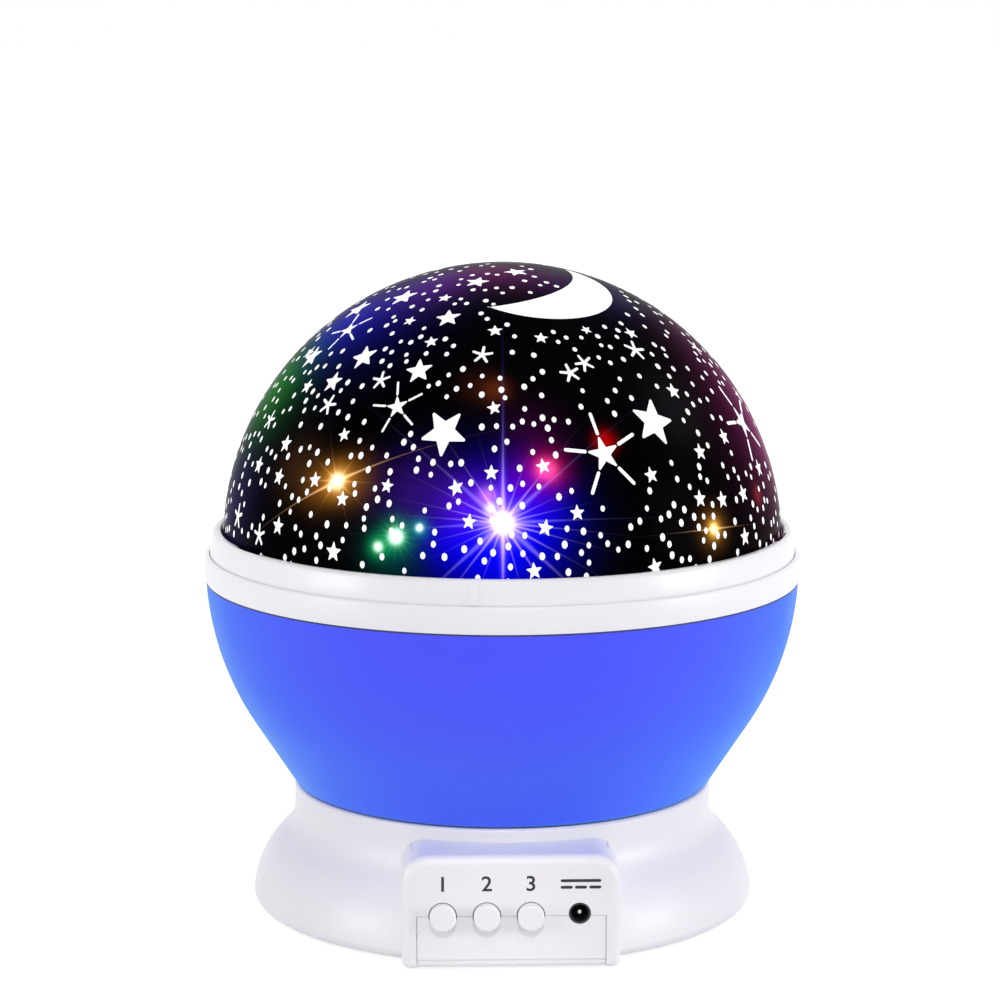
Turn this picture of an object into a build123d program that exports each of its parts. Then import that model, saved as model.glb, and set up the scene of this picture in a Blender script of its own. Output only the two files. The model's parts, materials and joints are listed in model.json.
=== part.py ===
from build123d import *
import os
from math import acos, asin, cos, pi, radians, sin, sqrt, tan

# Star night light projector: a flared white base with a front control panel, a blue bowl that a
# geared motor turns on it, and a star dome that a bayonet ring locks onto the bowl's white rim.
# Millimetres. +Z is up, -Y is the front with the panel, and the origin is the centre of the
# resting plane. Angles called azimuth are measured from the front, positive towards +X.

# ---- driving dimensions -------------------------------------------------------------------
RIM_R = 65.0            # radius of the seam between the bowl and its white rim
WALL = 2.0              # moulded wall thickness
FIT = 0.1               # gap between two pieces of one body
GAP = 0.3               # gap between pieces that move past each other
CUT = 1.0               # how far a cutting form starts outside the material it cuts

# heights from the resting plane
BASE_Z = 0.6            # lower edge of the base shell, held up by the rubber feet
BASE_TOP = 27.2         # top plate of the base
BOWL_Z = 27.5           # lower edge of the turning bowl
BOWL_TOP = 72.8         # seam between the blue bowl and the white rim ring
RIM_TOP = 78.4          # shoulder of the rim ring round the lock ring
LOCK_TOP = 83.6         # top edge of the lock ring
DOME_TOP = 141.2        # crown of the dome

# flared base
FOOT_R = 55.4           # widest radius of the flared base
NECK_R = 46.0           # radius of its straight neck
NECK_ROUND = 0.8        # rounding of the neck's upper edge
FLARE_TOP = 21.8        # height where the neck starts to flare
FLARE_HOLLOW_R = 8.0    # hollow curve under the neck
FLARE_TURN = radians(48)    # slope from the vertical where the hollow curve turns into the full one
FOOT_ROUND = 2.0        # rounding of the bottom edge

# front control panel
PANEL_W = 45.4
PANEL_TOP = 24.5
PANEL_Y = 56.8          # distance of the panel's face from the axis
PANEL_CORNER = 5.6      # its two upper corners, seen from the front
PANEL_ROUND = 2.0       # rounding of the edge round its face
PANEL_FOOT_ROUND = 1.2  # rounding of its bottom edge
CAVITY_BACK = 38.0      # how far back the panel's cavity opens into the base
TONGUE_W = 39.2         # width of the floor's upstand that closes the panel below the seam
TONGUE_GROOVE = (2.2, 2.6, 0.25)    # low, high and depth of the groove across the upstand

# buttons and DC inlet
CONTROL_Z = 11.9        # height of the buttons, and of the seam through them
BUTTON_X = (-14.2, -5.1, 4.0)
BUTTON_R = 2.75
BUTTON_HOLE_R = 2.95
BUTTON_PROUD = 2.3
BUTTON_ROUND = 0.5
BUTTON_FLANGE = (3.8, 1.0)  # radius and thickness of the flange that keeps it in
BUTTON_STEM_R = 1.6
JACK_X = 14.1
JACK_Z = 12.3
JACK_HOLE_R = 2.3
JACK_NOSE_R = 2.2
JACK_BORE_R = 1.85
JACK_BORE_L = 9.5
JACK_BODY = 9.0         # side of its square body
JACK_BODY_ROUND = 0.8
JACK_PIN = (0.55, 8.6)  # radius and length
JACK_PIN_ROUND = 0.4

# circuit board and its switches
BOARD_Y = 43.5          # distance of the board's back face from the axis
BOARD_T = 1.4
BOARD_W = 40.4
BOARD_Z = (3.4, 19.0)
BOARD_POST = (1.6, 5.0, 5.2)    # width, depth and lower end of the grooved posts
SWITCH_W = 6.0
SWITCH_ROUND = 0.5
SWITCH_DEPTH = 3.6
SWITCH_BORE = (1.9, 2.2)    # radius and depth of the hole for the button's stem
STEM_REACH = 0.2        # how far the stem reaches into the switch

# floor, battery bay and door
FLOOR_Z = 0.8
FLOOR_T = 2.0
FLOOR_R = FOOT_R - WALL - 0.6
BAY_W = 43.2
BAY_Y = (-14.0, 34.0)
BAY_TOP = 13.7
BAY_WALL = 1.4
DOOR_T = 1.1
DOOR_RIM = 1.6          # how far the door laps over the floor round the bay
DOOR_EDGE_ROUND = 0.5   # rounding of its hinge edge
DOOR_SCOOP = (14.0, 7.0)    # finger scoop at its free edge
DOOR_RIBS = (1.2, 1.6)  # width and height of the ribs between the cells
DOOR_RIB_SHORT = 10.0   # how much shorter than the bay they are
DOOR_GRIP = (12.0, 1.0, 2.4, 4, 0.4)    # length, width, spacing, count and depth of grip grooves
DOOR_GRIP_IN = 4.0      # distance of their middle from the end of the bay
TRUNNION_R = 0.55
TRUNNION_L = 1.2
SOCKET_R = 0.65
SOCKET_L = 1.6
HINGE_IN = 0.4          # distance of the hinge axis from the door's edge
BOSS_XY = (34.6, 20.0)  # half spacings of the four screw bosses
BOSS_R = 3.4
PAD_XY = 32.5           # half spacing of the four rubber feet
PAD_R = 4.0
POCKET_DEPTH = 0.9      # pockets of the feet and of the floor screws' heads

# screws: radii of the head, the shank, its pilot hole and its clearance hole, then head height
FLOOR_SCREW = (2.2, 1.0, 1.1, 1.25, 0.8)
PILLAR_SCREW = (1.9, 1.0, 1.1, 1.1, 1.2)
GEAR_SCREW = (1.7, 0.8, 0.85, 0.95, 1.0)
DECK_SCREW = (2.1, 0.95, 1.0, 1.2, 1.2)
FLOOR_SCREW_L = 12.0
FLOOR_PILOT_L = 13.0
GEAR_SCREW_L = 4.2
GEAR_PILOT_L = 2.4
DECK_SCREW_L = 9.0
CROSS = (1.3, 0.5, 0.45)    # length to head radius, width and depth of the cross recess

# battery cells
CELL_R = 5.15
CELL_L = 44.0
CELL_PITCH = 10.7
CELL_COUNT = 4
CELL_NUB = (1.9, 0.8)   # radius and height of the raised terminal
CELL_LIFT = 0.3         # how far the cells lie above the middle of the bay
CELL_END_GAP = 2.2      # room for a contact at each end
CONTACT_W = 6.0
CONTACT_T = 0.3
CONTACT_LEAF = ((0.2, 4.0), (0.2, -4.0), (1.5, 0.5), (1.1, 2.2))    # off the wall, above the cell

# geared motor
GEARBOX = (11.0, 14.0, 8.6)
GEARBOX_ROUND = 1.5
GEARBOX_NECK_R = 3.6
GEARBOX_FLOOR = 1.5     # material left under the shaft's bore
NECK_HOLE_R = 4.0
MOTOR_LOW = 4.2
MOTOR_R = 6.2
MOTOR_FLATS = 10.0      # distance between its two flats
MOTOR_CAP = (2.2, 0.8)
SHAFT_R = 1.5
SHAFT_BORE_R = 1.55
SHAFT_FLAT_X = 1.0      # distance of the flat from the shaft's middle
SHAFT_FLAT_L = 6.0

# turntable drive
MODULE = 1.0
RING_TEETH = 72
PINION_TEETH = 12
PRESSURE_ANGLE = radians(20)
BACKLASH = 0.16
DEDENDUM = 1.25 * MODULE
RING_ADDENDUM = 1.0 * MODULE
PINION_ADDENDUM = 0.9 * MODULE
RING_PITCH_R = MODULE * RING_TEETH / 2
PINION_PITCH_R = MODULE * PINION_TEETH / 2
MOTOR_X = -(RING_PITCH_R - PINION_PITCH_R)
GEAR_Z = (28.3, 31.4)   # lower and upper face of the ring gear
PINION_DROP = 0.4       # how far the pinion reaches below the ring gear
PINION_T = GEAR_Z[1] - GEAR_Z[0] - 0.1
RING_OUTER_R = 41.0
GEAR_SCREW_R = 39.2
GEAR_SCREW_AZIMUTHS = (0.0, 120.0, 240.0)

# bowl
BOWL_ARC_R = 62.4       # radius of the wall's curve, seen from the side
BOWL_UPRIGHT_Z = 75.6   # height where that curve would be upright
BOWL_FLARE = radians(33.0)  # slope from the vertical of the straight part below
BOWL_FOOT_ROUND = 1.4
BOWL_LIP_ROUND = 0.4    # rounding of the edge at the rim ring
BOWL_FLOOR_Z = GEAR_Z[1]
BOWL_FLOOR_T = 2.0
RECESS_R = 44.2         # recess under the bowl that covers the gears
HUB_R = 11.0
HUB_TOP = 37.0
HUB_PLAY = 0.08         # gap between the hub and the pillar
RIB_OUT = 36.5          # outer end of the ribs on the floor
RIB_SIZE = (1.6, 2.4)   # width and height
RIB_COUNT = 6
POST_AZIMUTHS = (30.0, 150.0, 270.0)
POST_AXIS_R = 55.0      # distance of the deck's posts from the axis
POST_R = 3.2
POST_LOW = 50.0
WEB_T = 1.6             # web between a post and the wall
WEB_DROP = 4.0          # its top stays this far below the rim, clear of the spigot

# rim ring
SEAT_Z = 74.2           # ledge that the dome's skirt stands on
SEAT_R = 58.5           # inner edge of that ledge
LEDGE_Z = 77.2          # ledge under the lock ring
RIM_BULGE = 0.3         # swelling of its outside
RIM_ROUND = 0.6         # rounding of its shoulder
RIM_BORE_R = 64.2
GUIDE_R = 62.3          # wall that the lock ring turns in
GROOVE_R = 62.9         # groove that its bead runs in
GROOVE_TOP = 76.6
SPIGOT_R = (60.7, 62.5) # spigot inside the bowl's wall
SPIGOT_L = 3.4
KEY_R = (59.0, 60.8)    # keys that stop the dome turning
KEY_SPAN = 3.2          # degrees
KEY_H = 2.0

# lock ring
LOCK_R = 64.0           # its outside in the rim ring
LOCK_MID = (63.9, 80.5)
LOCK_TOP_R = 63.1
LOCK_ROUND = 1.0
LOCK_LOW = LEDGE_Z + 0.2
LOCK_SKIRT_R = (61.3, 62.0)
BEAD_R = 62.6
BEAD_Z = (75.5, 76.3)
LIP_R = 61.5
LIP_CHAMFER = 0.3
POCKET_R = 62.3         # pocket under the lip that the dome's lugs turn in
POCKET_Z = (79.5, 81.3)
NOTCH_R = POCKET_R + FIT
NOTCH_SPAN = 10.0       # degrees
LOCK_TRAVEL = 18.0      # degrees that the lock ring turns
STOP_AZIMUTH = 30.0
STOP_SPAN = 4.0         # degrees taken by a stop and by the peg between them
STOP_PLAY = 0.3         # degrees
STOP_R = (61.2, GROOVE_R)
STOP_H = 1.0
PEG_R = (61.5, 62.5)
PEG_Z = (SEAT_Z + GAP, BEAD_Z[0] + FIT)
MARK_AZIMUTH = -7.0
MARK_SPAN = 1.3         # degrees
MARK_PROUD = 0.35

# dome
DOME_R = 61.2           # outer radius of the dome
DOME_NECK_R = 60.9      # its skirt below the lock ring's lip
DOME_T = 1.5
DOME_CENTRE_Z = DOME_TOP - DOME_R
SKIRT_LOW = SEAT_Z + 0.2
LUG_AZIMUTHS = (-62.0, 74.0, 186.0)
LUG_SPAN = 8.0          # degrees of arc taken by one dome lug
LUG_Z = (79.8, 81.0)
KEYWAY_SPAN = 4.2       # degrees

# deck
DECK_Z = 70.8           # underside of the deck's outer flange
DECK_T = 1.6
DECK_DISH = 3.0         # how much lower its middle lies
DECK_R = 60.4
DECK_FLAT_R = 50.0      # inner edge of the flange
DECK_HOLE_R = 19.5
DECK_RIM_R = 22.0       # flat rim round the hole

# pillar and its clip
PILLAR_R = 7.0
PILLAR_BORE_R = 4.5
PILLAR_TOP = 66.0
PILLAR_SCREW_R = 11.5
PILLAR_SCREW_AZIMUTHS = (60.0, 180.0, 300.0)
FLANGE_R = 15.0
FLANGE_T = 2.2
WASHER = (7.15, 10.0, 1.0)  # inner radius, outer radius and thickness
CLIP_Z = HUB_TOP + 0.2
CLIP_T = 0.8
CLIP_GROOVE = 0.9       # depth of its groove in the pillar
CLIP_REACH = 2.0        # how far it stands out of the pillar
CLIP_MOUTH = 9.0

# lamp board
HOLDER_R = 18.0
HOLDER_T = 2.0
HOLDER_RIM = 1.6
HOLDER_SPIGOT_L = 6.0
HOLDER_BORE_R = 2.6
LAMP_BOARD_R = 14.5
LAMP_BOARD_T = 1.2
LED_RING_R = 6.5        # distance of the lamps from the axis
LED_R = 2.5
LED_COLLAR = (2.9, 1.0)
LED_BARREL_L = 6.0
LED_CROWN_ROUND = 2.2
LEAD_R = 1.1
LEAD_Z = 19.2
LEAD_BEND = 8.0

os.makedirs("parts", exist_ok=True)


# ---- helpers ------------------------------------------------------------------------------
def radial_plane(azimuth):
    """Upright plane through the axis; local x points outwards at the azimuth, local y is up."""
    a = radians(azimuth)
    return Plane(origin=(0, 0, 0), x_dir=(sin(a), -cos(a), 0), z_dir=(-cos(a), -sin(a), 0))


def front_plane(distance):
    """Plane facing the front at a distance from the axis; local x is X and local y is height."""
    return Plane(origin=(0, -distance, 0), x_dir=(1, 0, 0), z_dir=(0, -1, 0))


def side_plane(x):
    """Plane facing the right side; local x is Y and local y is height."""
    return Plane.YZ.offset(x)


def level(z):
    """Level plane at a height."""
    return Plane.XY.offset(z)


def around(radius, azimuths):
    """Points on a circle about the axis, one at each azimuth."""
    return [(radius * sin(radians(a)), -radius * cos(radians(a))) for a in azimuths]


def corners(half_x, half_y):
    """The four corners of a rectangle about the axis."""
    return [(x, y) for x in (-half_x, half_x) for y in (-half_y, half_y)]


def finish(builder, label):
    """Name a finished piece and write it to its own file."""
    builder.part.label = label
    export_step(builder.part, f"parts/{label}.step")


def ring_sector(azimuth, span, radii, heights, mode=Mode.ADD):
    """A block between two radii and two heights that spans an arc centred on an azimuth."""
    inner, outer = radii
    low, high = heights
    with BuildSketch(radial_plane(azimuth - span / 2)) as section:
        with BuildLine():
            Polyline((inner, low), (outer, low), (outer, high), (inner, high), close=True)
        make_face()
    revolve(section.sketch, axis=Axis.Z, revolution_arc=span, mode=mode)


def ring_band(inner, outer, low, high, mode=Mode.ADD):
    """A plain ring between two radii and two heights, or a disc where the inner radius is 0."""
    with BuildSketch(level(low)) as section:
        Circle(outer)
        if inner:
            Circle(inner, mode=Mode.SUBTRACT)
    extrude(section.sketch, amount=high - low, mode=mode)


def holes(points, radius, top, depth):
    """Round holes that go down from a height."""
    with BuildSketch(level(top)) as section:
        with Locations(*points):
            Circle(radius)
    extrude(section.sketch, amount=-depth, mode=Mode.SUBTRACT)


def screws(label, points, seat, kind, length, way):
    """Like screws with their heads on one seat; way is 1 where they point up and -1 down."""
    head_r, shank_r, _, _, head_h = kind
    with BuildPart() as group:
        with BuildSketch(level(seat)):
            with Locations(*points):
                Circle(head_r)
        extrude(amount=-way * head_h)
        with BuildSketch(level(seat)):
            with Locations(*points):
                Circle(shank_r)
        extrude(amount=way * length)
        with BuildSketch(level(seat - way * head_h)):
            with Locations(*points):
                Rectangle(CROSS[0] * head_r, CROSS[1])
                Rectangle(CROSS[1], CROSS[0] * head_r)
        extrude(amount=way * CROSS[2], mode=Mode.SUBTRACT)
    finish(group, label)


# ---- base shell ---------------------------------------------------------------------------
# the full curve of the foot joins the hollow one and is upright where the base is widest
turn_r = NECK_R + FLARE_HOLLOW_R * (1 - cos(FLARE_TURN))
swell_radius = (FOOT_R - turn_r) / (1 - cos(FLARE_TURN))
swell_z = FLARE_TOP - (FLARE_HOLLOW_R + swell_radius) * sin(FLARE_TURN)


def flare_profile(inset, top, low):
    """The flared base: a straight neck, a hollow curve and a full rounded foot."""
    full_r = swell_radius - inset
    hollow_r = FLARE_HOLLOW_R + inset
    rounding = FOOT_ROUND - inset / 2

    def on_hollow(angle):
        return (NECK_R + FLARE_HOLLOW_R - hollow_r * cos(angle), FLARE_TOP - hollow_r * sin(angle))

    def on_swell(z):
        return (FOOT_R - swell_radius + sqrt(full_r**2 - (z - swell_z) ** 2), z)

    turn = on_hollow(FLARE_TURN)
    foot_start = on_swell(low + rounding)
    with BuildSketch(Plane.XZ) as section:
        with BuildLine():
            Line((0, top), (NECK_R - inset, top))
            Line((NECK_R - inset, top), on_hollow(0))
            ThreePointArc(on_hollow(0), on_hollow(FLARE_TURN / 2), turn)
            ThreePointArc(turn, on_swell((turn[1] + foot_start[1]) / 2), foot_start)
            RadiusArc(foot_start, (foot_start[0] - rounding, low), rounding)
            Line((foot_start[0] - rounding, low), (0, low))
            Line((0, low), (0, top))
        make_face()
    revolve(section.sketch, axis=Axis.Z)


def panel_block(inset):
    """The control panel's housing, drawn from the front with its two rounded upper corners."""
    height = PANEL_TOP - inset - BASE_Z
    with BuildSketch(front_plane(PANEL_Y - inset)) as outline:
        with Locations((0, BASE_Z + height / 2)):
            Rectangle(PANEL_W - 2 * inset, height)
        fillet(outline.vertices().group_by(Axis.Y)[-1], PANEL_CORNER - inset)
    extrude(outline.sketch, amount=-(PANEL_Y - inset - CAVITY_BACK))


def cavity_floor(inset, low, height):
    """The opening's level outline under the panel's cavity, filled up from a height."""
    front = PANEL_Y - inset
    with BuildSketch(level(low)) as outline:
        with Locations((0, -(front + CAVITY_BACK) / 2)):
            Rectangle(PANEL_W - 2 * inset, front - CAVITY_BACK)
    extrude(outline.sketch, amount=height)


def control_holes(depth):
    """The three button holes and the inlet hole through the panel."""
    with BuildSketch(front_plane(PANEL_Y + CUT)) as section:
        with Locations(*[(x, CONTROL_Z) for x in BUTTON_X]):
            Circle(BUTTON_HOLE_R)
        with Locations((JACK_X, JACK_Z)):
            Circle(JACK_HOLE_R)
    extrude(section.sketch, amount=-(depth + CUT), mode=Mode.SUBTRACT)


boss_points = corners(*BOSS_XY)
pad_points = corners(PAD_XY, PAD_XY)
pillar_screw_points = around(PILLAR_SCREW_R, PILLAR_SCREW_AZIMUTHS)
floor_top = FLOOR_Z + FLOOR_T
plate_low = BASE_TOP - WALL
panel_back = PANEL_Y - WALL
board_front = BOARD_Y + BOARD_T
board_mid = BOARD_Y + BOARD_T / 2

with BuildPart() as base_hollow:
    flare_profile(WALL, plate_low, BASE_Z - CUT)
    panel_block(WALL)
    cavity_floor(WALL, BASE_Z - CUT, 2 * CUT)

with BuildPart() as panel_form:
    panel_block(0)
    face_edges = panel_form.faces().sort_by(Axis.Y)[0].edges().sort_by(Axis.Z)
    fillet(face_edges[1:], PANEL_ROUND)
    foot_edges = panel_form.faces().sort_by(Axis.Z)[0].edges().sort_by(Axis.Y)
    fillet(foot_edges[0], PANEL_FOOT_ROUND)

with BuildPart() as base_shell:
    flare_profile(0, BASE_TOP, BASE_Z)
    fillet(base_shell.edges().filter_by(GeomType.CIRCLE).sort_by(Axis.Z)[-1], NECK_ROUND)
    add(panel_form.part)
    add(base_hollow.part, mode=Mode.SUBTRACT)
    # four bosses hang from the top plate and take the floor screws
    with BuildSketch(level(floor_top + FIT)):
        with Locations(*boss_points):
            Circle(BOSS_R)
    extrude(until=Until.NEXT)
    holes(boss_points, FLOOR_SCREW[2], floor_top + FLOOR_PILOT_L, FLOOR_PILOT_L)
    # notch in the panel for the floor's upstand, and the control holes on its upper edge
    with BuildSketch(front_plane(PANEL_Y + CUT)):
        with Locations((0, CONTROL_Z / 2)):
            Rectangle(TONGUE_W, CONTROL_Z)
    extrude(amount=-(WALL + CUT), mode=Mode.SUBTRACT)
    control_holes(WALL)
    # openings in the top plate for the pillar, its screws and the gearbox's neck
    holes([(0, 0)], PILLAR_R + FIT, BASE_TOP, WALL)
    holes(pillar_screw_points, PILLAR_SCREW[2], BASE_TOP, WALL)
    holes([(MOTOR_X, 0)], NECK_HOLE_R, BASE_TOP, WALL)
    # grooved posts that hold the ends of the circuit board
    post_w, post_depth, post_low = BOARD_POST
    post_x = PANEL_W / 2 - WALL - post_w / 2 + FIT
    with BuildSketch(level(PANEL_TOP - WALL / 2)):
        with Locations((post_x, -board_mid), (-post_x, -board_mid)):
            Rectangle(post_w, post_depth)
        with Locations((0, -board_mid)):
            Rectangle(BOARD_W + 2 * FIT, BOARD_T + 2 * FIT, mode=Mode.SUBTRACT)
    extrude(amount=-(PANEL_TOP - WALL / 2 - post_low))
finish(base_shell, "base_shell")

# ---- base floor with its battery bay ------------------------------------------------------
bay_length = BAY_Y[1] - BAY_Y[0]
bay_mid = (BAY_Y[0] + BAY_Y[1]) / 2
door_w = BAY_W + 2 * DOOR_RIM
door_l = bay_length + 2 * DOOR_RIM
door_seat = FLOOR_Z + DOOR_T + FIT * 2
hinge_y = BAY_Y[0] - DOOR_RIM + HINGE_IN
hinge_z = FLOOR_Z + DOOR_T / 2
tongue_w = TONGUE_W - 2 * FIT


def bay_box(width, length, low, high, mode=Mode.ADD):
    """A box about the middle of the battery bay."""
    with BuildSketch(level(low)) as outline:
        with Locations((0, bay_mid)):
            Rectangle(width, length)
    extrude(outline.sketch, amount=high - low, mode=mode)


def hinge_pins(radius, beyond, mode=Mode.ADD):
    """A round bar on the door's hinge axis that ends beyond both its sides."""
    with BuildSketch(side_plane(-door_w / 2 - beyond)) as section:
        with Locations((hinge_y, hinge_z)):
            Circle(radius)
    extrude(section.sketch, amount=door_w + 2 * beyond, mode=mode)


with BuildPart() as base_floor:
    ring_band(0, FLOOR_R, FLOOR_Z, floor_top)
    cavity_floor(WALL + FIT, FLOOR_Z, FLOOR_T)
    # upstand that closes the panel below the seam, with the lower halves of the control holes
    with BuildSketch(front_plane(PANEL_Y - FIT)):
        with Locations((0, (FLOOR_Z + CONTROL_Z - FIT) / 2)):
            Rectangle(tongue_w, CONTROL_Z - FIT - FLOOR_Z)
    extrude(amount=-WALL)
    fillet(base_floor.edges().filter_by(Axis.X).sort_by(Axis.Y)[:2].sort_by(Axis.Z)[0], PANEL_FOOT_ROUND)
    groove_low, groove_high, groove_depth = TONGUE_GROOVE
    with BuildSketch(front_plane(PANEL_Y)):
        with Locations((0, (groove_low + groove_high) / 2)):
            Rectangle(tongue_w, groove_high - groove_low)
    extrude(amount=-(FIT + groove_depth), mode=Mode.SUBTRACT)
    # battery bay: a box open below, with a rebate that the door lies in
    bay_box(BAY_W + 2 * BAY_WALL, bay_length + 2 * BAY_WALL, floor_top, BAY_TOP + BAY_WALL)
    bay_box(BAY_W, bay_length, FLOOR_Z, BAY_TOP, Mode.SUBTRACT)
    bay_box(door_w + 2 * GAP, door_l + 2 * GAP, FLOOR_Z, door_seat, Mode.SUBTRACT)
    with BuildSketch(level(FLOOR_Z)):
        with Locations((0, BAY_Y[1] + DOOR_RIM)):
            SlotOverall(*DOOR_SCOOP)
    extrude(amount=door_seat - FLOOR_Z, mode=Mode.SUBTRACT)
    hinge_pins(SOCKET_R, SOCKET_L, Mode.SUBTRACT)
    # counterbored screw holes and the pockets of the rubber feet
    holes(boss_points, FLOOR_SCREW[3], floor_top, FLOOR_T)
    holes(boss_points, FLOOR_SCREW[0] + GAP, FLOOR_Z + POCKET_DEPTH, POCKET_DEPTH)
    holes(pad_points, PAD_R + FIT, FLOOR_Z + POCKET_DEPTH, POCKET_DEPTH)
    control_holes(WALL + FIT)
finish(base_floor, "base_floor")

with BuildPart() as battery_door:
    bay_box(door_w, door_l, FLOOR_Z, FLOOR_Z + DOOR_T)
    fillet(battery_door.edges().filter_by(Axis.X).group_by(Axis.Y)[0], DOOR_EDGE_ROUND)
    hinge_pins(TRUNNION_R, TRUNNION_L)
    # stiffening ribs that stand inside the bay, between the cells
    with BuildSketch(level(FLOOR_Z + DOOR_T)):
        with Locations((0, bay_mid)):
            with GridLocations(CELL_PITCH, 0, CELL_COUNT - 1, 1):
                Rectangle(DOOR_RIBS[0], bay_length - DOOR_RIB_SHORT)
    extrude(amount=DOOR_RIBS[1])
    # finger grooves near the free edge
    grip_l, grip_w, grip_step, grip_count, grip_depth = DOOR_GRIP
    with BuildSketch(level(FLOOR_Z)):
        with Locations((0, BAY_Y[1] - DOOR_GRIP_IN)):
            with GridLocations(0, grip_step, 1, grip_count):
                Rectangle(grip_l, grip_w)
    extrude(amount=grip_depth, mode=Mode.SUBTRACT)
finish(battery_door, "battery_door")

with BuildPart() as rubber_feet:
    with BuildSketch(level(0)):
        with Locations(*pad_points):
            Circle(PAD_R)
    extrude(amount=FLOOR_Z + POCKET_DEPTH)
finish(rubber_feet, "rubber_feet")

screws("floor_screws", boss_points, FLOOR_Z + POCKET_DEPTH, FLOOR_SCREW, FLOOR_SCREW_L, 1)

# ---- batteries and contacts ---------------------------------------------------------------
cell_z = (door_seat + BAY_TOP) / 2 + CELL_LIFT
cell_columns = [CELL_PITCH * (i - (CELL_COUNT - 1) / 2) for i in range(CELL_COUNT)]
cell_start = BAY_Y[0] + CELL_END_GAP

with BuildPart() as aaa_cells:
    for i, x in enumerate(cell_columns):
        # every second cell lies the other way round
        nub_y = cell_start + CELL_L if i % 2 else cell_start - CELL_NUB[1]
        with BuildSketch(front_plane(-cell_start)):
            with Locations((x, cell_z)):
                Circle(CELL_R)
        extrude(amount=-CELL_L)
        with BuildSketch(front_plane(-nub_y)):
            with Locations((x, cell_z)):
                Circle(CELL_NUB[0])
        extrude(amount=-CELL_NUB[1])
finish(aaa_cells, "aaa_cells")

with BuildPart() as battery_contacts:
    for i, x in enumerate(cell_columns):
        # strip of sheet on the flat end's wall, bent up into a leaf that presses on the cell
        wall_y, inward = (BAY_Y[0], 1) if i % 2 else (BAY_Y[1], -1)
        with BuildSketch(side_plane(x - CONTACT_W / 2)):
            with BuildLine():
                Polyline(*[(wall_y + inward * off, cell_z + rise) for off, rise in CONTACT_LEAF])
            trace(line_width=CONTACT_T)
        extrude(amount=CONTACT_W)
finish(battery_contacts, "battery_contacts")

# ---- control board, buttons and inlet -----------------------------------------------------
with BuildPart() as control_board:
    with BuildSketch(front_plane(BOARD_Y)):
        with Locations((0, (BOARD_Z[0] + BOARD_Z[1]) / 2)):
            Rectangle(BOARD_W, BOARD_Z[1] - BOARD_Z[0])
    extrude(amount=BOARD_T)
finish(control_board, "control_board")

switch_front = board_front + SWITCH_DEPTH
button_places = [(x, CONTROL_Z) for x in BUTTON_X]

with BuildPart() as push_switches:
    with BuildSketch(front_plane(board_front)):
        with Locations(*button_places):
            RectangleRounded(SWITCH_W, SWITCH_W, SWITCH_ROUND)
    extrude(amount=SWITCH_DEPTH)
    with BuildSketch(front_plane(switch_front)):
        with Locations(*button_places):
            Circle(SWITCH_BORE[0])
    extrude(amount=-SWITCH_BORE[1], mode=Mode.SUBTRACT)
finish(push_switches, "push_switches")

flange_front = panel_back - GAP
flange_back = flange_front - BUTTON_FLANGE[1]

for number, place in enumerate(button_places, start=1):
    with BuildPart() as button:
        # cap, retaining flange behind the panel and stem that reaches into the switch
        with BuildSketch(front_plane(flange_front)):
            with Locations(place):
                Circle(BUTTON_R)
        extrude(amount=PANEL_Y + BUTTON_PROUD - flange_front)
        fillet(button.edges().filter_by(GeomType.CIRCLE).sort_by(Axis.Y)[0], BUTTON_ROUND)
        with BuildSketch(front_plane(flange_back)):
            with Locations(place):
                Circle(BUTTON_FLANGE[0])
        extrude(amount=BUTTON_FLANGE[1])
        with BuildSketch(front_plane(switch_front - STEM_REACH)):
            with Locations(place):
                Circle(BUTTON_STEM_R)
        extrude(amount=flange_back - switch_front + STEM_REACH)
    finish(button, f"button_{number}")

jack_front = panel_back - FIT

with BuildPart() as dc_jack:
    with BuildSketch(front_plane(board_front)):
        with Locations((JACK_X, JACK_Z)):
            RectangleRounded(JACK_BODY, JACK_BODY, JACK_BODY_ROUND)
    extrude(amount=jack_front - board_front)
    with BuildSketch(front_plane(jack_front)):
        with Locations((JACK_X, JACK_Z)):
            Circle(JACK_NOSE_R)
    extrude(amount=WALL - FIT)
    with BuildSketch(front_plane(PANEL_Y)):
        with Locations((JACK_X, JACK_Z)):
            Circle(JACK_BORE_R)
    extrude(amount=-JACK_BORE_L, mode=Mode.SUBTRACT)
finish(dc_jack, "dc_jack")

with BuildPart() as jack_pin:
    with BuildSketch(front_plane(PANEL_Y - JACK_BORE_L)):
        with Locations((JACK_X, JACK_Z)):
            Circle(JACK_PIN[0])
    extrude(amount=JACK_PIN[1])
    fillet(jack_pin.edges().filter_by(GeomType.CIRCLE).sort_by(Axis.Y)[0], JACK_PIN_ROUND)
finish(jack_pin, "jack_pin")

# ---- geared motor -------------------------------------------------------------------------
gearbox_w, gearbox_d, gearbox_h = GEARBOX
gearbox_low = plate_low - gearbox_h
shaft_low = gearbox_low + GEARBOX_FLOOR

with BuildPart() as gearbox:
    with BuildSketch(level(gearbox_low)):
        with Locations((MOTOR_X, 0)):
            RectangleRounded(gearbox_w, gearbox_d, GEARBOX_ROUND)
    extrude(amount=gearbox_h)
    with BuildSketch(level(plate_low)):
        with Locations((MOTOR_X, 0)):
            Circle(GEARBOX_NECK_R)
    extrude(amount=WALL - 2 * FIT)
    holes([(MOTOR_X, 0)], SHAFT_BORE_R, BASE_TOP, BASE_TOP - shaft_low)
finish(gearbox, "gearbox")

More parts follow.
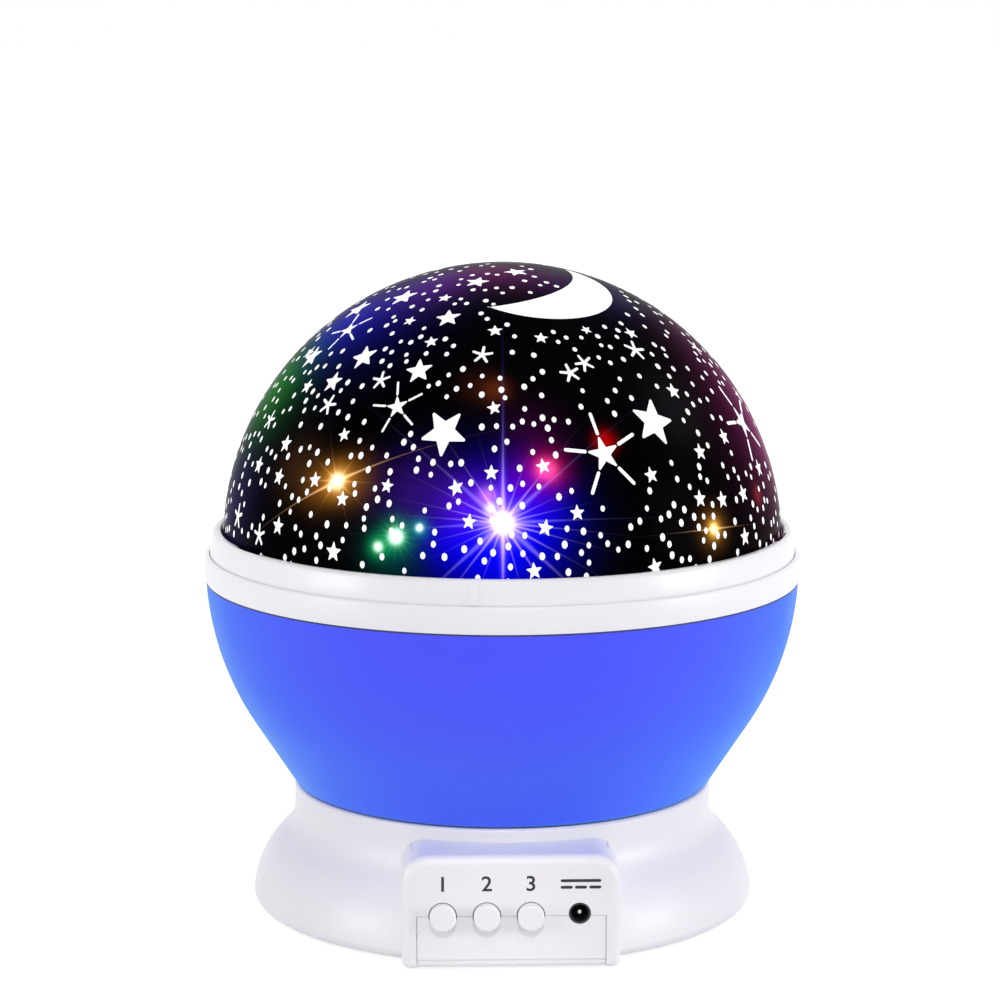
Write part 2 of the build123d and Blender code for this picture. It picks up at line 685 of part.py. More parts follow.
with BuildPart() as motor:
    with BuildSketch(level(MOTOR_LOW)):
        with Locations((MOTOR_X, 0)):
            Circle(MOTOR_R)
            Rectangle(MOTOR_FLATS, 3 * MOTOR_R, mode=Mode.INTERSECT)
    extrude(amount=gearbox_low - MOTOR_LOW)
    with BuildSketch(level(MOTOR_LOW)):
        with Locations((MOTOR_X, 0)):
            Circle(MOTOR_CAP[0])
    extrude(amount=-MOTOR_CAP[1])
finish(motor, "motor")

with BuildPart() as output_shaft:
    with BuildSketch(level(shaft_low + FIT)):
        with Locations((MOTOR_X, 0)):
            Circle(SHAFT_R)
    extrude(amount=GEAR_Z[1] - 2 * FIT - shaft_low - FIT)
    # flat that carries the pinion round
    with BuildSketch(level(GEAR_Z[0] - PINION_DROP - FIT)):
        with Locations((MOTOR_X - SHAFT_FLAT_X - SHAFT_R / 2, 0)):
            Rectangle(SHAFT_R, 2 * SHAFT_R)
    extrude(amount=SHAFT_FLAT_L, mode=Mode.SUBTRACT)
finish(output_shaft, "output_shaft")


# ---- gears --------------------------------------------------------------------------------
def involute(angle):
    return tan(angle) - angle


def gear_outline(teeth, tip_r, root_r, slack):
    """Closed outline of an involute gear about the origin, its first tooth on the +X axis.

    The slack is added to the thickness of every tooth on the pitch circle.
    """
    pitch_r = MODULE * teeth / 2
    base_r = pitch_r * cos(PRESSURE_ANGLE)
    half_pitch_angle = pi / (2 * teeth) + slack / (2 * pitch_r) + involute(PRESSURE_ANGLE)

    def half_angle(r):
        return half_pitch_angle - involute(acos(min(1.0, base_r / r)))

    def at(r, angle):
        return (r * cos(angle), r * sin(angle))

    flank_low = max(base_r, root_r)
    flank_mid = (flank_low + tip_r) / 2
    low, mid, high = half_angle(flank_low), half_angle(flank_mid), half_angle(tip_r)
    for i in range(teeth):
        centre = 2 * pi * i / teeth
        following = centre + 2 * pi / teeth
        if flank_low > root_r:
            Line(at(root_r, centre - low), at(flank_low, centre - low))
        ThreePointArc(
            at(flank_low, centre - low), at(flank_mid, centre - mid), at(tip_r, centre - high)
        )
        ThreePointArc(at(tip_r, centre - high), at(tip_r, centre), at(tip_r, centre + high))
        ThreePointArc(
            at(tip_r, centre + high), at(flank_mid, centre + mid), at(flank_low, centre + low)
        )
        if flank_low > root_r:
            Line(at(flank_low, centre + low), at(root_r, centre + low))
        ThreePointArc(
            at(root_r, centre + low),
            at(root_r, (centre + following) / 2),
            at(root_r, following - low),
        )


gear_screw_points = around(GEAR_SCREW_R, GEAR_SCREW_AZIMUTHS)
pinion_low = GEAR_Z[0] - PINION_DROP

with BuildPart() as ring_gear:
    ring_band(0, RING_OUTER_R, *GEAR_Z)
    # the spaces between internal teeth have the outline of an external gear
    with BuildSketch(level(GEAR_Z[0]).rotated((0, 0, 180))):
        with BuildLine():
            gear_outline(
                RING_TEETH, RING_PITCH_R + DEDENDUM, RING_PITCH_R - RING_ADDENDUM, BACKLASH / 2
            )
        make_face()
    extrude(amount=GEAR_Z[1] - GEAR_Z[0], mode=Mode.SUBTRACT)
    holes(gear_screw_points, GEAR_SCREW[2], GEAR_Z[1], GEAR_PILOT_L)
finish(ring_gear, "ring_gear")

with BuildPart() as drive_pinion:
    with BuildSketch(Plane(origin=(MOTOR_X, 0, pinion_low), x_dir=(-1, 0, 0), z_dir=(0, 0, 1))):
        with BuildLine():
            gear_outline(
                PINION_TEETH, PINION_PITCH_R + PINION_ADDENDUM, PINION_PITCH_R - DEDENDUM, -BACKLASH / 2
            )
        make_face()
        Circle(SHAFT_R, mode=Mode.SUBTRACT)
    extrude(amount=PINION_T)
    # filling of the bore on the shaft's flat
    with BuildSketch(level(pinion_low)):
        with Locations((MOTOR_X - (SHAFT_FLAT_X + SHAFT_R) / 2, 0)):
            Rectangle(SHAFT_R - SHAFT_FLAT_X, 1.6 * SHAFT_R)
    extrude(amount=PINION_T)
finish(drive_pinion, "drive_pinion")


# ---- turning bowl -------------------------------------------------------------------------
def wall_point(angle, inset):
    """Point on the wall's arc at an angle below the level of its centre."""
    radius = BOWL_ARC_R - inset
    return (RIM_R - BOWL_ARC_R + radius * cos(angle), BOWL_UPRIGHT_Z - radius * sin(angle))


def wall_angle(z, inset):
    """The angle at which the wall's arc reaches a height."""
    return asin((BOWL_UPRIGHT_Z - z) / (BOWL_ARC_R - inset))


def bowl_form(inset):
    """The bowl's outside, or the space inside it where an inset is given.

    The wall is an arc that runs on below as a straight flare.
    """
    rim_angle = wall_angle(BOWL_TOP, inset)
    rim = wall_point(rim_angle, inset)
    shoulder = wall_point(BOWL_FLARE, inset)
    foot = (shoulder[0] - (shoulder[1] - BOWL_Z) * tan(BOWL_FLARE), BOWL_Z)
    with BuildSketch(Plane.XZ) as section:
        with BuildLine():
            Line((0, BOWL_Z), foot)
            Line(foot, shoulder)
            ThreePointArc(shoulder, wall_point((BOWL_FLARE + rim_angle) / 2, inset), rim)
            Line(rim, (0, BOWL_TOP))
            Line((0, BOWL_TOP), (0, BOWL_Z))
        make_face()
    revolve(section.sketch, axis=Axis.Z)


bowl_floor_top = BOWL_FLOOR_Z + BOWL_FLOOR_T
post_points = around(POST_AXIS_R, POST_AZIMUTHS)
web_high = BOWL_TOP - WEB_DROP
web_high_point = wall_point(wall_angle(web_high, WALL / 2), WALL / 2)
web_low_point = wall_point(wall_angle(POST_LOW, WALL / 2), WALL / 2)

with BuildPart() as bowl_hollow:
    bowl_form(WALL)
    ring_band(0, RIM_R, BOWL_Z, bowl_floor_top, mode=Mode.SUBTRACT)

with BuildPart() as bowl:
    bowl_form(0)
    bowl_edges = bowl.edges().filter_by(GeomType.CIRCLE).sort_by(Axis.Z)
    fillet(bowl_edges[0], BOWL_FOOT_ROUND)
    fillet(bowl.edges().filter_by(GeomType.CIRCLE).sort_by(Axis.Z)[-1], BOWL_LIP_ROUND)
    add(bowl_hollow.part, mode=Mode.SUBTRACT)
    # recess under the floor for the ring gear, and the hub that turns on the pillar
    ring_band(0, RECESS_R, BOWL_Z, BOWL_FLOOR_Z, mode=Mode.SUBTRACT)
    ring_band(0, HUB_R, BASE_TOP + WASHER[2] + FIT / 2, HUB_TOP)
    ring_band(0, PILLAR_R + HUB_PLAY, BOWL_Z, HUB_TOP, mode=Mode.SUBTRACT)
    holes(gear_screw_points, GEAR_SCREW[3], bowl_floor_top, BOWL_FLOOR_T)
    # radial ribs on the floor
    rib_in = HUB_R - CUT / 2
    with BuildSketch(level(bowl_floor_top)):
        with PolarLocations((rib_in + RIB_OUT) / 2, RIB_COUNT):
            Rectangle(RIB_OUT - rib_in, RIB_SIZE[0])
    extrude(amount=RIB_SIZE[1])
    # posts that carry the deck, each with a web to the wall
    with BuildSketch(level(POST_LOW)):
        with Locations(*post_points):
            Circle(POST_R)
    extrude(amount=DECK_Z - POST_LOW)
    for azimuth in POST_AZIMUTHS:
        with BuildSketch(radial_plane(azimuth)):
            with BuildLine():
                Polyline(
                    (POST_AXIS_R, POST_LOW),
                    (POST_AXIS_R, DECK_Z),
                    (DECK_R, DECK_Z),
                    (DECK_R, web_high),
                    web_high_point,
                    web_low_point,
                    close=True,
                )
            make_face()
        extrude(amount=WEB_T / 2, both=True)
    holes(post_points, DECK_SCREW[2], DECK_Z, DECK_SCREW_L)
finish(bowl, "bowl")

screws("gear_screws", gear_screw_points, bowl_floor_top, GEAR_SCREW, GEAR_SCREW_L, -1)

# ---- rim ring -----------------------------------------------------------------------------
with BuildPart() as rim_ring:
    with BuildSketch(Plane.XZ) as rim_section:
        with BuildLine():
            ThreePointArc(
                (RIM_R, BOWL_TOP), (RIM_R + RIM_BULGE, (BOWL_TOP + RIM_TOP) / 2), (RIM_R, RIM_TOP)
            )
            Polyline(
                (RIM_R, RIM_TOP),
                (RIM_BORE_R, RIM_TOP),
                (RIM_BORE_R, LEDGE_Z),
                (GUIDE_R, LEDGE_Z),
                (GUIDE_R, GROOVE_TOP),
                (GROOVE_R, GROOVE_TOP),
                (GROOVE_R, SEAT_Z),
                (SEAT_R, SEAT_Z),
                (SEAT_R, BOWL_TOP),
                (SPIGOT_R[0], BOWL_TOP),
                (SPIGOT_R[0], BOWL_TOP - SPIGOT_L),
                (SPIGOT_R[1], BOWL_TOP - SPIGOT_L),
                (SPIGOT_R[1], BOWL_TOP),
                (RIM_R, BOWL_TOP),
            )
        make_face()
        fillet(rim_section.vertices().group_by(Axis.Y)[-1].sort_by(Axis.X)[-1], RIM_ROUND)
    revolve(axis=Axis.Z)
    for azimuth in LUG_AZIMUTHS:
        ring_sector(azimuth, KEY_SPAN, KEY_R, (SEAT_Z, SEAT_Z + KEY_H))
    # stops at both ends of the lock ring's travel
    stop_offset = STOP_SPAN + STOP_PLAY
    for azimuth in (STOP_AZIMUTH - stop_offset, STOP_AZIMUTH + LOCK_TRAVEL + stop_offset):
        ring_sector(azimuth, STOP_SPAN, STOP_R, (SEAT_Z, SEAT_Z + STOP_H))
finish(rim_ring, "rim_ring")

# ---- lock ring ----------------------------------------------------------------------------
with BuildPart() as lock_ring:
    with BuildSketch(Plane.XZ) as lock_section:
        with BuildLine():
            ThreePointArc((LOCK_R, LOCK_LOW), LOCK_MID, (LOCK_TOP_R, LOCK_TOP))
            Polyline(
                (LOCK_TOP_R, LOCK_TOP),
                (LIP_R + LIP_CHAMFER, LOCK_TOP),
                (LIP_R, LOCK_TOP - LIP_CHAMFER),
                (LIP_R, POCKET_Z[1]),
                (POCKET_R, POCKET_Z[1]),
                (POCKET_R, POCKET_Z[0]),
                (LOCK_SKIRT_R[0], POCKET_Z[0]),
                (LOCK_SKIRT_R[0], BEAD_Z[0]),
                (BEAD_R, BEAD_Z[0]),
                (BEAD_R, BEAD_Z[1]),
                (LOCK_SKIRT_R[1], GROOVE_TOP),
                (LOCK_SKIRT_R[1], LOCK_LOW),
                (LOCK_R, LOCK_LOW),
            )
        make_face()
        fillet(lock_section.vertices().group_by(Axis.Y)[-1].sort_by(Axis.X)[-1], LOCK_ROUND)
    revolve(axis=Axis.Z)
    # notches in the lip that let the dome's lugs drop in
    for azimuth in LUG_AZIMUTHS:
        notch_z = (POCKET_Z[1] - CUT, LOCK_TOP + CUT)
        ring_sector(azimuth, NOTCH_SPAN, (LIP_R - CUT, NOTCH_R), notch_z, Mode.SUBTRACT)
    # peg that runs between the stops
    ring_sector(STOP_AZIMUTH, STOP_SPAN, PEG_R, PEG_Z)
    # raised alignment mark that follows the outside
    with BuildSketch(radial_plane(MARK_AZIMUTH - MARK_SPAN / 2)) as mark_section:
        with BuildLine():
            Polyline(
                (POCKET_R + MARK_PROUD, RIM_TOP + GAP),
                (LOCK_R + MARK_PROUD, RIM_TOP + GAP),
                (LOCK_MID[0] + MARK_PROUD, LOCK_MID[1]),
                (LOCK_TOP_R + MARK_PROUD, LOCK_TOP - LOCK_ROUND),
                (POCKET_R + MARK_PROUD, LOCK_TOP - MARK_PROUD),
                close=True,
            )
        make_face()
    revolve(mark_section.sketch, axis=Axis.Z, revolution_arc=MARK_SPAN)
finish(lock_ring, "lock_ring")


# ---- star dome ----------------------------------------------------------------------------
def dome_solid(inset):
    """The dome's form: a ball's upper part that runs down into a short straight skirt."""
    radius = DOME_R - inset
    neck = DOME_NECK_R - inset
    neck_z = DOME_CENTRE_Z + sqrt(radius**2 - neck**2)
    crown_z = DOME_CENTRE_Z + radius
    with BuildSketch(Plane.XZ) as section:
        with BuildLine():
            Line((0, SKIRT_LOW), (neck, SKIRT_LOW))
            Line((neck, SKIRT_LOW), (neck, neck_z))
            RadiusArc((neck, neck_z), (0, crown_z), -radius)
            Line((0, crown_z), (0, SKIRT_LOW))
        make_face()
    revolve(section.sketch, axis=Axis.Z)


keyway_z = (SKIRT_LOW - CUT, SEAT_Z + KEY_H + GAP)
lug_radii = (DOME_NECK_R - DOME_T / 3, POCKET_R - 2 * FIT)

with BuildPart() as dome_inside:
    dome_solid(DOME_T)

with BuildPart() as dome:
    dome_solid(0)
    add(dome_inside.part, mode=Mode.SUBTRACT)
    for azimuth in LUG_AZIMUTHS:
        ring_sector(azimuth, LUG_SPAN, lug_radii, LUG_Z)
        ring_sector(azimuth, KEYWAY_SPAN, (KEY_R[0] - CUT, DOME_R), keyway_z, Mode.SUBTRACT)
finish(dome, "dome")

# ---- deck over the bowl -------------------------------------------------------------------
deck_top = DECK_Z + DECK_T

with BuildPart() as deck:
    with BuildSketch(Plane.XZ):
        with BuildLine():
            Polyline(
                (DECK_R, DECK_Z),
                (DECK_R, deck_top),
                (DECK_FLAT_R, deck_top),
                (DECK_RIM_R, deck_top - DECK_DISH),
                (DECK_HOLE_R, deck_top - DECK_DISH),
                (DECK_HOLE_R, DECK_Z - DECK_DISH),
                (DECK_RIM_R, DECK_Z - DECK_DISH),
                (DECK_FLAT_R, DECK_Z),
                close=True,
            )
        make_face()
    revolve(axis=Axis.Z)
    holes(post_points, DECK_SCREW[3], deck_top, DECK_T)
finish(deck, "deck")

screws("deck_screws", post_points, deck_top, DECK_SCREW, DECK_SCREW_L, -1)

# ---- pillar and its clip ------------------------------------------------------------------
flange_low = plate_low - FLANGE_T
clip_groove_r = PILLAR_R - CLIP_GROOVE

with BuildPart() as pillar:
    ring_band(0, FLANGE_R, flange_low, plate_low)
    ring_band(0, PILLAR_R, plate_low, PILLAR_TOP)
    ring_band(clip_groove_r, PILLAR_R + CUT, CLIP_Z, CLIP_Z + CLIP_T, mode=Mode.SUBTRACT)
    ring_band(0, PILLAR_BORE_R, flange_low, PILLAR_TOP, mode=Mode.SUBTRACT)
    holes(pillar_screw_points, PILLAR_SCREW[3], plate_low, FLANGE_T)
finish(pillar, "pillar")

pillar_screw_l = FLANGE_T + WALL - GAP
screws("pillar_screws", pillar_screw_points, flange_low, PILLAR_SCREW, pillar_screw_l, 1)

with BuildPart() as thrust_washer:
    ring_band(WASHER[0], WASHER[1], BASE_TOP, BASE_TOP + WASHER[2])
finish(thrust_washer, "thrust_washer")

with BuildPart() as retaining_clip:
    ring_band(clip_groove_r, PILLAR_R + CLIP_REACH, CLIP_Z + FIT / 2, CLIP_Z + CLIP_T - FIT / 2)
    with BuildSketch(level(CLIP_Z)):
        with Locations((0, -PILLAR_R)):
            Rectangle(CLIP_MOUTH, 2 * PILLAR_R)
    extrude(amount=CLIP_T, mode=Mode.SUBTRACT)
finish(retaining_clip, "retaining_clip")

# ---- lamp board ---------------------------------------------------------------------------
holder_top = PILLAR_TOP + HOLDER_T
holder_low = PILLAR_TOP - HOLDER_SPIGOT_L
lamp_board_top = holder_top + LAMP_BOARD_T

with BuildPart() as led_holder:
    ring_band(0, HOLDER_R, PILLAR_TOP, holder_top)
    ring_band(LAMP_BOARD_R + GAP, HOLDER_R, holder_top, holder_top + HOLDER_RIM)
    ring_band(0, PILLAR_BORE_R - FIT / 2, holder_low, PILLAR_TOP)
    ring_band(0, HOLDER_BORE_R, holder_low, holder_top, mode=Mode.SUBTRACT)
finish(led_holder, "led_holder")

with BuildPart() as led_board:
    ring_band(0, LAMP_BOARD_R, holder_top, lamp_board_top)
finish(led_board, "led_board")

led_places = {
    "led_white": (LED_RING_R, 0),
    "led_blue": (0, -LED_RING_R),
    "led_green": (-LED_RING_R, 0),
    "led_red": (0, LED_RING_R),
}
for label, place in led_places.items():
    with BuildPart() as led:
        # collar, barrel and domed lens of a round lamp
        with BuildSketch(level(lamp_board_top)):
            with Locations(place):
                Circle(LED_COLLAR[0])
        extrude(amount=LED_COLLAR[1])
        with BuildSketch(level(lamp_board_top + LED_COLLAR[1])):
            with Locations(place):
                Circle(LED_R)
        extrude(amount=LED_BARREL_L)
        fillet(led.edges().filter_by(GeomType.CIRCLE).sort_by(Axis.Z)[-1], LED_CROWN_ROUND)
    finish(led, label)

# lead from the control board, across under the pillar and up through its bore
with BuildPart() as led_lead:
    with BuildLine() as lead_route:
        FilletPolyline(
            (0, -BOARD_Y, LEAD_Z), (0, 0, LEAD_Z), (0, 0, holder_top), radius=LEAD_BEND
        )
    with BuildSketch(Plane(origin=(0, -BOARD_Y, LEAD_Z), x_dir=(1, 0, 0), z_dir=(0, 1, 0))):
        Circle(LEAD_R)
    sweep(path=lead_route.wires()[0])
finish(led_lead, "led_lead")
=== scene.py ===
import json
import math
import random

import bmesh
import bpy
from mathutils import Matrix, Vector


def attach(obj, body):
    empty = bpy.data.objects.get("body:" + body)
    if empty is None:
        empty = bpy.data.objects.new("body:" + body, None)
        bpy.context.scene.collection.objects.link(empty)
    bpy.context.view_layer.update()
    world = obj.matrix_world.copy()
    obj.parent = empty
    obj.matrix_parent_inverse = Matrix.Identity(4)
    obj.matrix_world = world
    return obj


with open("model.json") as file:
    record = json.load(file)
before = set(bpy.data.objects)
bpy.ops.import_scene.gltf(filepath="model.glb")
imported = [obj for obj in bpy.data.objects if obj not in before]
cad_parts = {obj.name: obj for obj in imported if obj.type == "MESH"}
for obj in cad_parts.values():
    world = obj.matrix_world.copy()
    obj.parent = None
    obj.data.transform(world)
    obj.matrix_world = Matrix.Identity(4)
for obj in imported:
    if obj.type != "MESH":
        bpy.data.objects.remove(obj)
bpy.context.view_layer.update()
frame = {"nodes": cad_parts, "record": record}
nodes = frame["nodes"]

# Star night light projector: the finishes of the CAD parts, the print on the dome with glows and
# glints painted on it, the marks on the control panel, a painted shadow line under the rim, and the
# studio.
#
# Metres. +Z is up and -Y is the front with the control panel. Azimuth is measured from the
# front, positive towards +X, and latitude from the dome's level great circle, in degrees.
MM = 0.001
DOME_CENTRE = Vector((0, 0, 80.0 * MM))
DOME_R = 61.2 * MM
PRINT_LIFT = 0.03 * MM      # how far the clear print stands off the dark one
PANEL_Y = -56.8 * MM        # face of the control panel
INK_LIFT = 0.03 * MM        # how far the ink stands off the panel


# ---- helpers -------------------------------------------------------------------------------------
def linear(r, g, b):
    """A display colour, 0 to 255, as a scene-linear one."""
    def channel(v):
        v /= 255.0
        return v / 12.92 if v <= 0.04045 else ((v + 0.055) / 1.055) ** 2.4
    return (channel(r), channel(g), channel(b), 1.0)


class Material:
    """A node material with one Principled shader and the links that most surfaces need."""

    def __init__(self, name, roughness=0.4, **sockets):
        self.name = name        # Blender's own name gets a number where the frame has the same
        self.material = bpy.data.materials.new(name)
        self.material.use_nodes = True
        self.tree = self.material.node_tree
        self.tree.nodes.clear()
        self.out = self.add("ShaderNodeOutputMaterial")
        self.shader = self.add("ShaderNodeBsdfPrincipled")
        self.link(self.shader.outputs[0], self.out.inputs[0])
        self.shader.inputs["Roughness"].default_value = roughness
        for socket, value in sockets.items():
            self.shader.inputs[socket.replace("_", " ")].default_value = value
        self.place = self.add("ShaderNodeTexCoord").outputs["Object"]

    def add(self, kind, **settings):
        node = self.tree.nodes.new(kind)
        for key, value in settings.items():
            setattr(node, key, value)
        return node

    def link(self, a, b):
        self.tree.links.new(a, b)

    def noise(self, scale, detail=2.0, stretch=None):
        """Noise in object space; the scale is in features to the metre."""
        node = self.add("ShaderNodeTexNoise")
        node.inputs["Scale"].default_value = scale
        node.inputs["Detail"].default_value = detail
        source = self.place
        if stretch:
            mapping = self.add("ShaderNodeMapping")
            mapping.inputs["Scale"].default_value = stretch
            self.link(source, mapping.inputs["Vector"])
            source = mapping.outputs["Vector"]
        self.link(source, node.inputs["Vector"])
        return node.outputs[0]

    def ramp(self, factor, *stops):
        node = self.add("ShaderNodeValToRGB")
        ramp = node.color_ramp
        ramp.interpolation = "EASE" if len(stops) == 2 else "LINEAR"
        while len(ramp.elements) < len(stops):
            ramp.elements.new(0.5)
        for element, (position, colour) in zip(ramp.elements, stops):
            element.position = position
            element.color = colour
        self.link(factor, node.inputs[0])
        return node.outputs[0]

    def colour(self, source):
        self.link(source, self.shader.inputs["Base Color"])

    def mottle(self, colour, drift, scale, detail, margin=0.35):
        """A base colour that drifts slowly from one colour to another close to it."""
        factor = self.noise(scale, detail)
        self.colour(self.ramp(factor, (margin, colour), (1 - margin, drift)))

    def rough(self, factor, low, high):
        """Roughness from low to high over the middle range of a factor.

        Both ends lie above 0.27 or both below it. The renderer's denoiser treats a smoother
        surface as a mirror, and where the roughness crosses that value it leaves patches.
        """
        node = self.add("ShaderNodeMapRange", interpolation_type="SMOOTHSTEP")
        node.inputs["From Min"].default_value = 0.3
        node.inputs["From Max"].default_value = 0.7
        node.inputs["To Min"].default_value = low
        node.inputs["To Max"].default_value = high
        self.link(factor, node.inputs[0])
        self.link(node.outputs[0], self.shader.inputs["Roughness"])

    def bump(self, height, distance, strength=1.0):
        """A bump on top of those that are there already."""
        node = self.add("ShaderNodeBump")
        node.inputs["Strength"].default_value = strength
        node.inputs["Distance"].default_value = distance
        self.link(height, node.inputs["Height"])
        normal = self.shader.inputs["Normal"]
        if normal.is_linked:
            self.link(normal.links[0].from_socket, node.inputs["Normal"])
        self.link(node.outputs[0], normal)


def mesh_data(name, mesh):
    """Mesh data from a bmesh, which is used up."""
    data = bpy.data.meshes.new(name)
    mesh.to_mesh(data)
    mesh.free()
    return data


def add_piece(name, data, look):
    """An object in the scene with one material."""
    data.materials.clear()
    data.materials.append(look.material)
    piece = bpy.data.objects.new(name, data)
    bpy.context.scene.collection.objects.link(piece)
    return piece


# ---- finishes ------------------------------------------------------------------------------------
def moulded(name, colour, drift, roughness, grain=0.012, flow=0.03, **sockets):
    """Moulded plastic: a slow drift of colour, an uneven gloss, flow marks and a fine grain.

    Grain and flow are the heights of these marks in mm.
    """
    m = Material(name, roughness, **sockets)
    m.mottle(colour, drift, scale=14, detail=3)
    m.rough(m.noise(scale=60, detail=4), roughness - 0.05, roughness + 0.06)
    m.bump(m.noise(scale=28, stretch=(1, 1, 0.5)), flow * MM, strength=0.35)
    m.bump(m.noise(scale=2600), grain * MM)
    return m


def metal(name, colour, drift, roughness):
    """Turned or drawn metal with fine marks round it."""
    m = Material(name, roughness, Metallic=1.0)
    m.mottle(colour, drift, scale=400, detail=3)
    m.rough(m.noise(scale=900, detail=4, stretch=(1, 1, 6)), roughness - 0.08, roughness + 0.1)
    m.bump(m.noise(scale=5200, stretch=(1, 1, 8)), 0.004 * MM)
    return m


def cell_sleeve():
    """A dark sleeve with a copper-coloured band at one end and bare steel at the other."""
    copper, dark, steel = linear(150, 104, 62), linear(38, 40, 44), linear(196, 196, 192)
    m = Material("cell_jacket", roughness=0.3, Coat_Weight=0.4, Coat_Roughness=0.1)
    split = m.add("ShaderNodeSeparateXYZ")
    m.link(m.place, split.inputs[0])
    along = m.add("ShaderNodeMapRange")     # 0 to 1 from end to end of the cells
    along.inputs["From Min"].default_value = -12 * MM
    along.inputs["From Max"].default_value = 33 * MM
    m.link(split.outputs["Y"], along.inputs[0])
    band_end, sleeve_end, edge = 0.24, 0.93, 0.005
    m.colour(m.ramp(
        along.outputs[0], (0.0, copper), (band_end - edge, copper), (band_end, dark),
        (sleeve_end, dark), (sleeve_end + edge, steel)))
    m.bump(m.noise(scale=900), 0.01 * MM)
    return m


def resist_board():
    """Green resist over a faint grid of copper tracks."""
    over_track, edge, between = linear(38, 112, 62), linear(34, 104, 58), linear(16, 72, 42)
    m = Material("circuit_board", roughness=0.35, Coat_Weight=0.5, Coat_Roughness=0.15)
    tracks = m.add("ShaderNodeTexVoronoi", distance="MANHATTAN", feature="DISTANCE_TO_EDGE")
    tracks.inputs["Scale"].default_value = 420
    m.link(m.place, tracks.inputs["Vector"])
    distance = tracks.outputs["Distance"]
    m.colour(m.ramp(distance, (0.0, over_track), (0.16, edge), (0.2, between)))
    m.bump(distance, 0.03 * MM, strength=0.5)
    return m


def lens(name, colour, drift):
    """Tinted resin of a lamp, a little cloudy."""
    m = Material(
        name, roughness=0.12, IOR=1.5, Transmission_Weight=0.35, Coat_Weight=0.5,
        Coat_Roughness=0.05, Emission_Color=colour, Emission_Strength=0.15)
    m.mottle(colour, drift, scale=500, detail=2, margin=0.4)
    m.bump(m.noise(scale=900), 0.006 * MM)
    return m


# Each is named after the material slot that it fills. Two close colours and the roughness follow.
FINISHES = (
    moulded("white_plastic", linear(230, 228, 229), linear(228, 226, 228), 0.38,
            Specular_IOR_Level=0.35, Coat_Weight=0.08, Coat_Roughness=0.3),
    moulded("rim_plastic", linear(239, 238, 242), linear(238, 237, 241), 0.34, grain=0.004,
            flow=0.008, Specular_IOR_Level=0.4, Coat_Weight=0.2, Coat_Roughness=0.15),
    moulded("blue_plastic", linear(85, 74, 255), linear(81, 70, 254), 0.4,
            Specular_IOR_Level=0.04, Sheen_Weight=0.48, Sheen_Roughness=0.64,
            Sheen_Tint=(0.03, 0.85, 0.75, 1.0)),
    moulded("gear_plastic", linear(232, 226, 208), linear(226, 219, 199), 0.42, grain=0.02),
    moulded("black_plastic", linear(26, 26, 28), linear(33, 33, 35), 0.45, grain=0.03),
    moulded("rubber", linear(46, 46, 48), linear(58, 58, 60), 0.75, grain=0.06),
    moulded("lead_sleeve", linear(206, 40, 36), linear(192, 34, 32), 0.5),
    metal("screw_steel", linear(186, 188, 192), linear(168, 170, 175), 0.36),
    metal("contact_steel", linear(206, 204, 196), linear(190, 187, 176), 0.36),
    metal("motor_steel", linear(176, 178, 180), linear(160, 162, 166), 0.38),
    cell_sleeve(),
    resist_board(),
    lens("led_clear", linear(238, 240, 244), linear(228, 232, 240)),
    lens("led_blue", linear(70, 110, 250), linear(60, 96, 240)),
    lens("led_green", linear(80, 224, 120), linear(66, 208, 104)),
    lens("led_red", linear(248, 72, 60), linear(236, 60, 52)),
)


# ---- places on the dome --------------------------------------------------------------------------
NO_REACH = 1e-9             # metres that are too few to have a direction


def outward(azimuth, latitude):
    a, l = math.radians(azimuth), math.radians(latitude)
    return Vector((math.sin(a) * math.cos(l), -math.cos(a) * math.cos(l), math.sin(l)))


def dome_axes(azimuth, latitude):
    """Outward, level and upward directions at a place on the dome."""
    a = math.radians(azimuth)
    out = outward(azimuth, latitude)
    level = Vector((math.cos(a), math.sin(a), 0))
    return out, level, out.cross(level)


def dome_point(azimuth, latitude, u=0.0, v=0.0, lift=0.0):
    """The point u across and v up from a place on the dome, both in metres along its surface."""
    out, level, up = dome_axes(azimuth, latitude)
    reach = math.hypot(u, v)
    if reach < NO_REACH:
        return DOME_CENTRE + out * (DOME_R + lift)
    toward = (level * u + up * v) / reach
    turn = reach / DOME_R
    return DOME_CENTRE + (out * math.cos(turn) + toward * math.sin(turn)) * (DOME_R + lift)


# ---- painted light on the dome: soft glows and thin rays of glints, as node groups ---------------
FLOAT, VECTOR = "NodeSocketFloat", "NodeSocketVector"
RAY_TIP = 0.2               # what is left far out of a ray's width, as a share of it


class LightGroup:
    """A node group that gives the painted glow of one patch or ray at a position."""

    def __init__(self, name, **inputs):
        self.tree = bpy.data.node_groups.new(name, "ShaderNodeTree")
        for socket, kind in inputs.items():
            self.tree.interface.new_socket(socket, in_out="INPUT", socket_type=kind)
        self.tree.interface.new_socket("Light", in_out="OUTPUT", socket_type=VECTOR)
        self.given = self.tree.nodes.new("NodeGroupInput").outputs

    def step(self, kind, operation, sources):
        node = self.tree.nodes.new(kind)
        node.operation = operation
        for socket, source in zip(node.inputs, sources):
            if isinstance(source, float):
                socket.default_value = source
            else:
                self.tree.links.new(source, socket)
        return node.outputs

    def maths(self, operation, *sources):
        return self.step("ShaderNodeMath", operation, sources)[0]

    def vectors(self, operation, *sources):
        return self.step("ShaderNodeVectorMath", operation, sources)

    def finish(self, strength):
        """The group gives the strength times the given colour."""
        scale = self.tree.nodes.new("ShaderNodeVectorMath")
        scale.operation = "SCALE"
        self.tree.links.new(self.given["Colour"], scale.inputs[0])
        self.tree.links.new(strength, scale.inputs["Scale"])
        out = self.tree.nodes.new("NodeGroupOutput")
        self.tree.links.new(scale.outputs[0], out.inputs["Light"])
        return self.tree


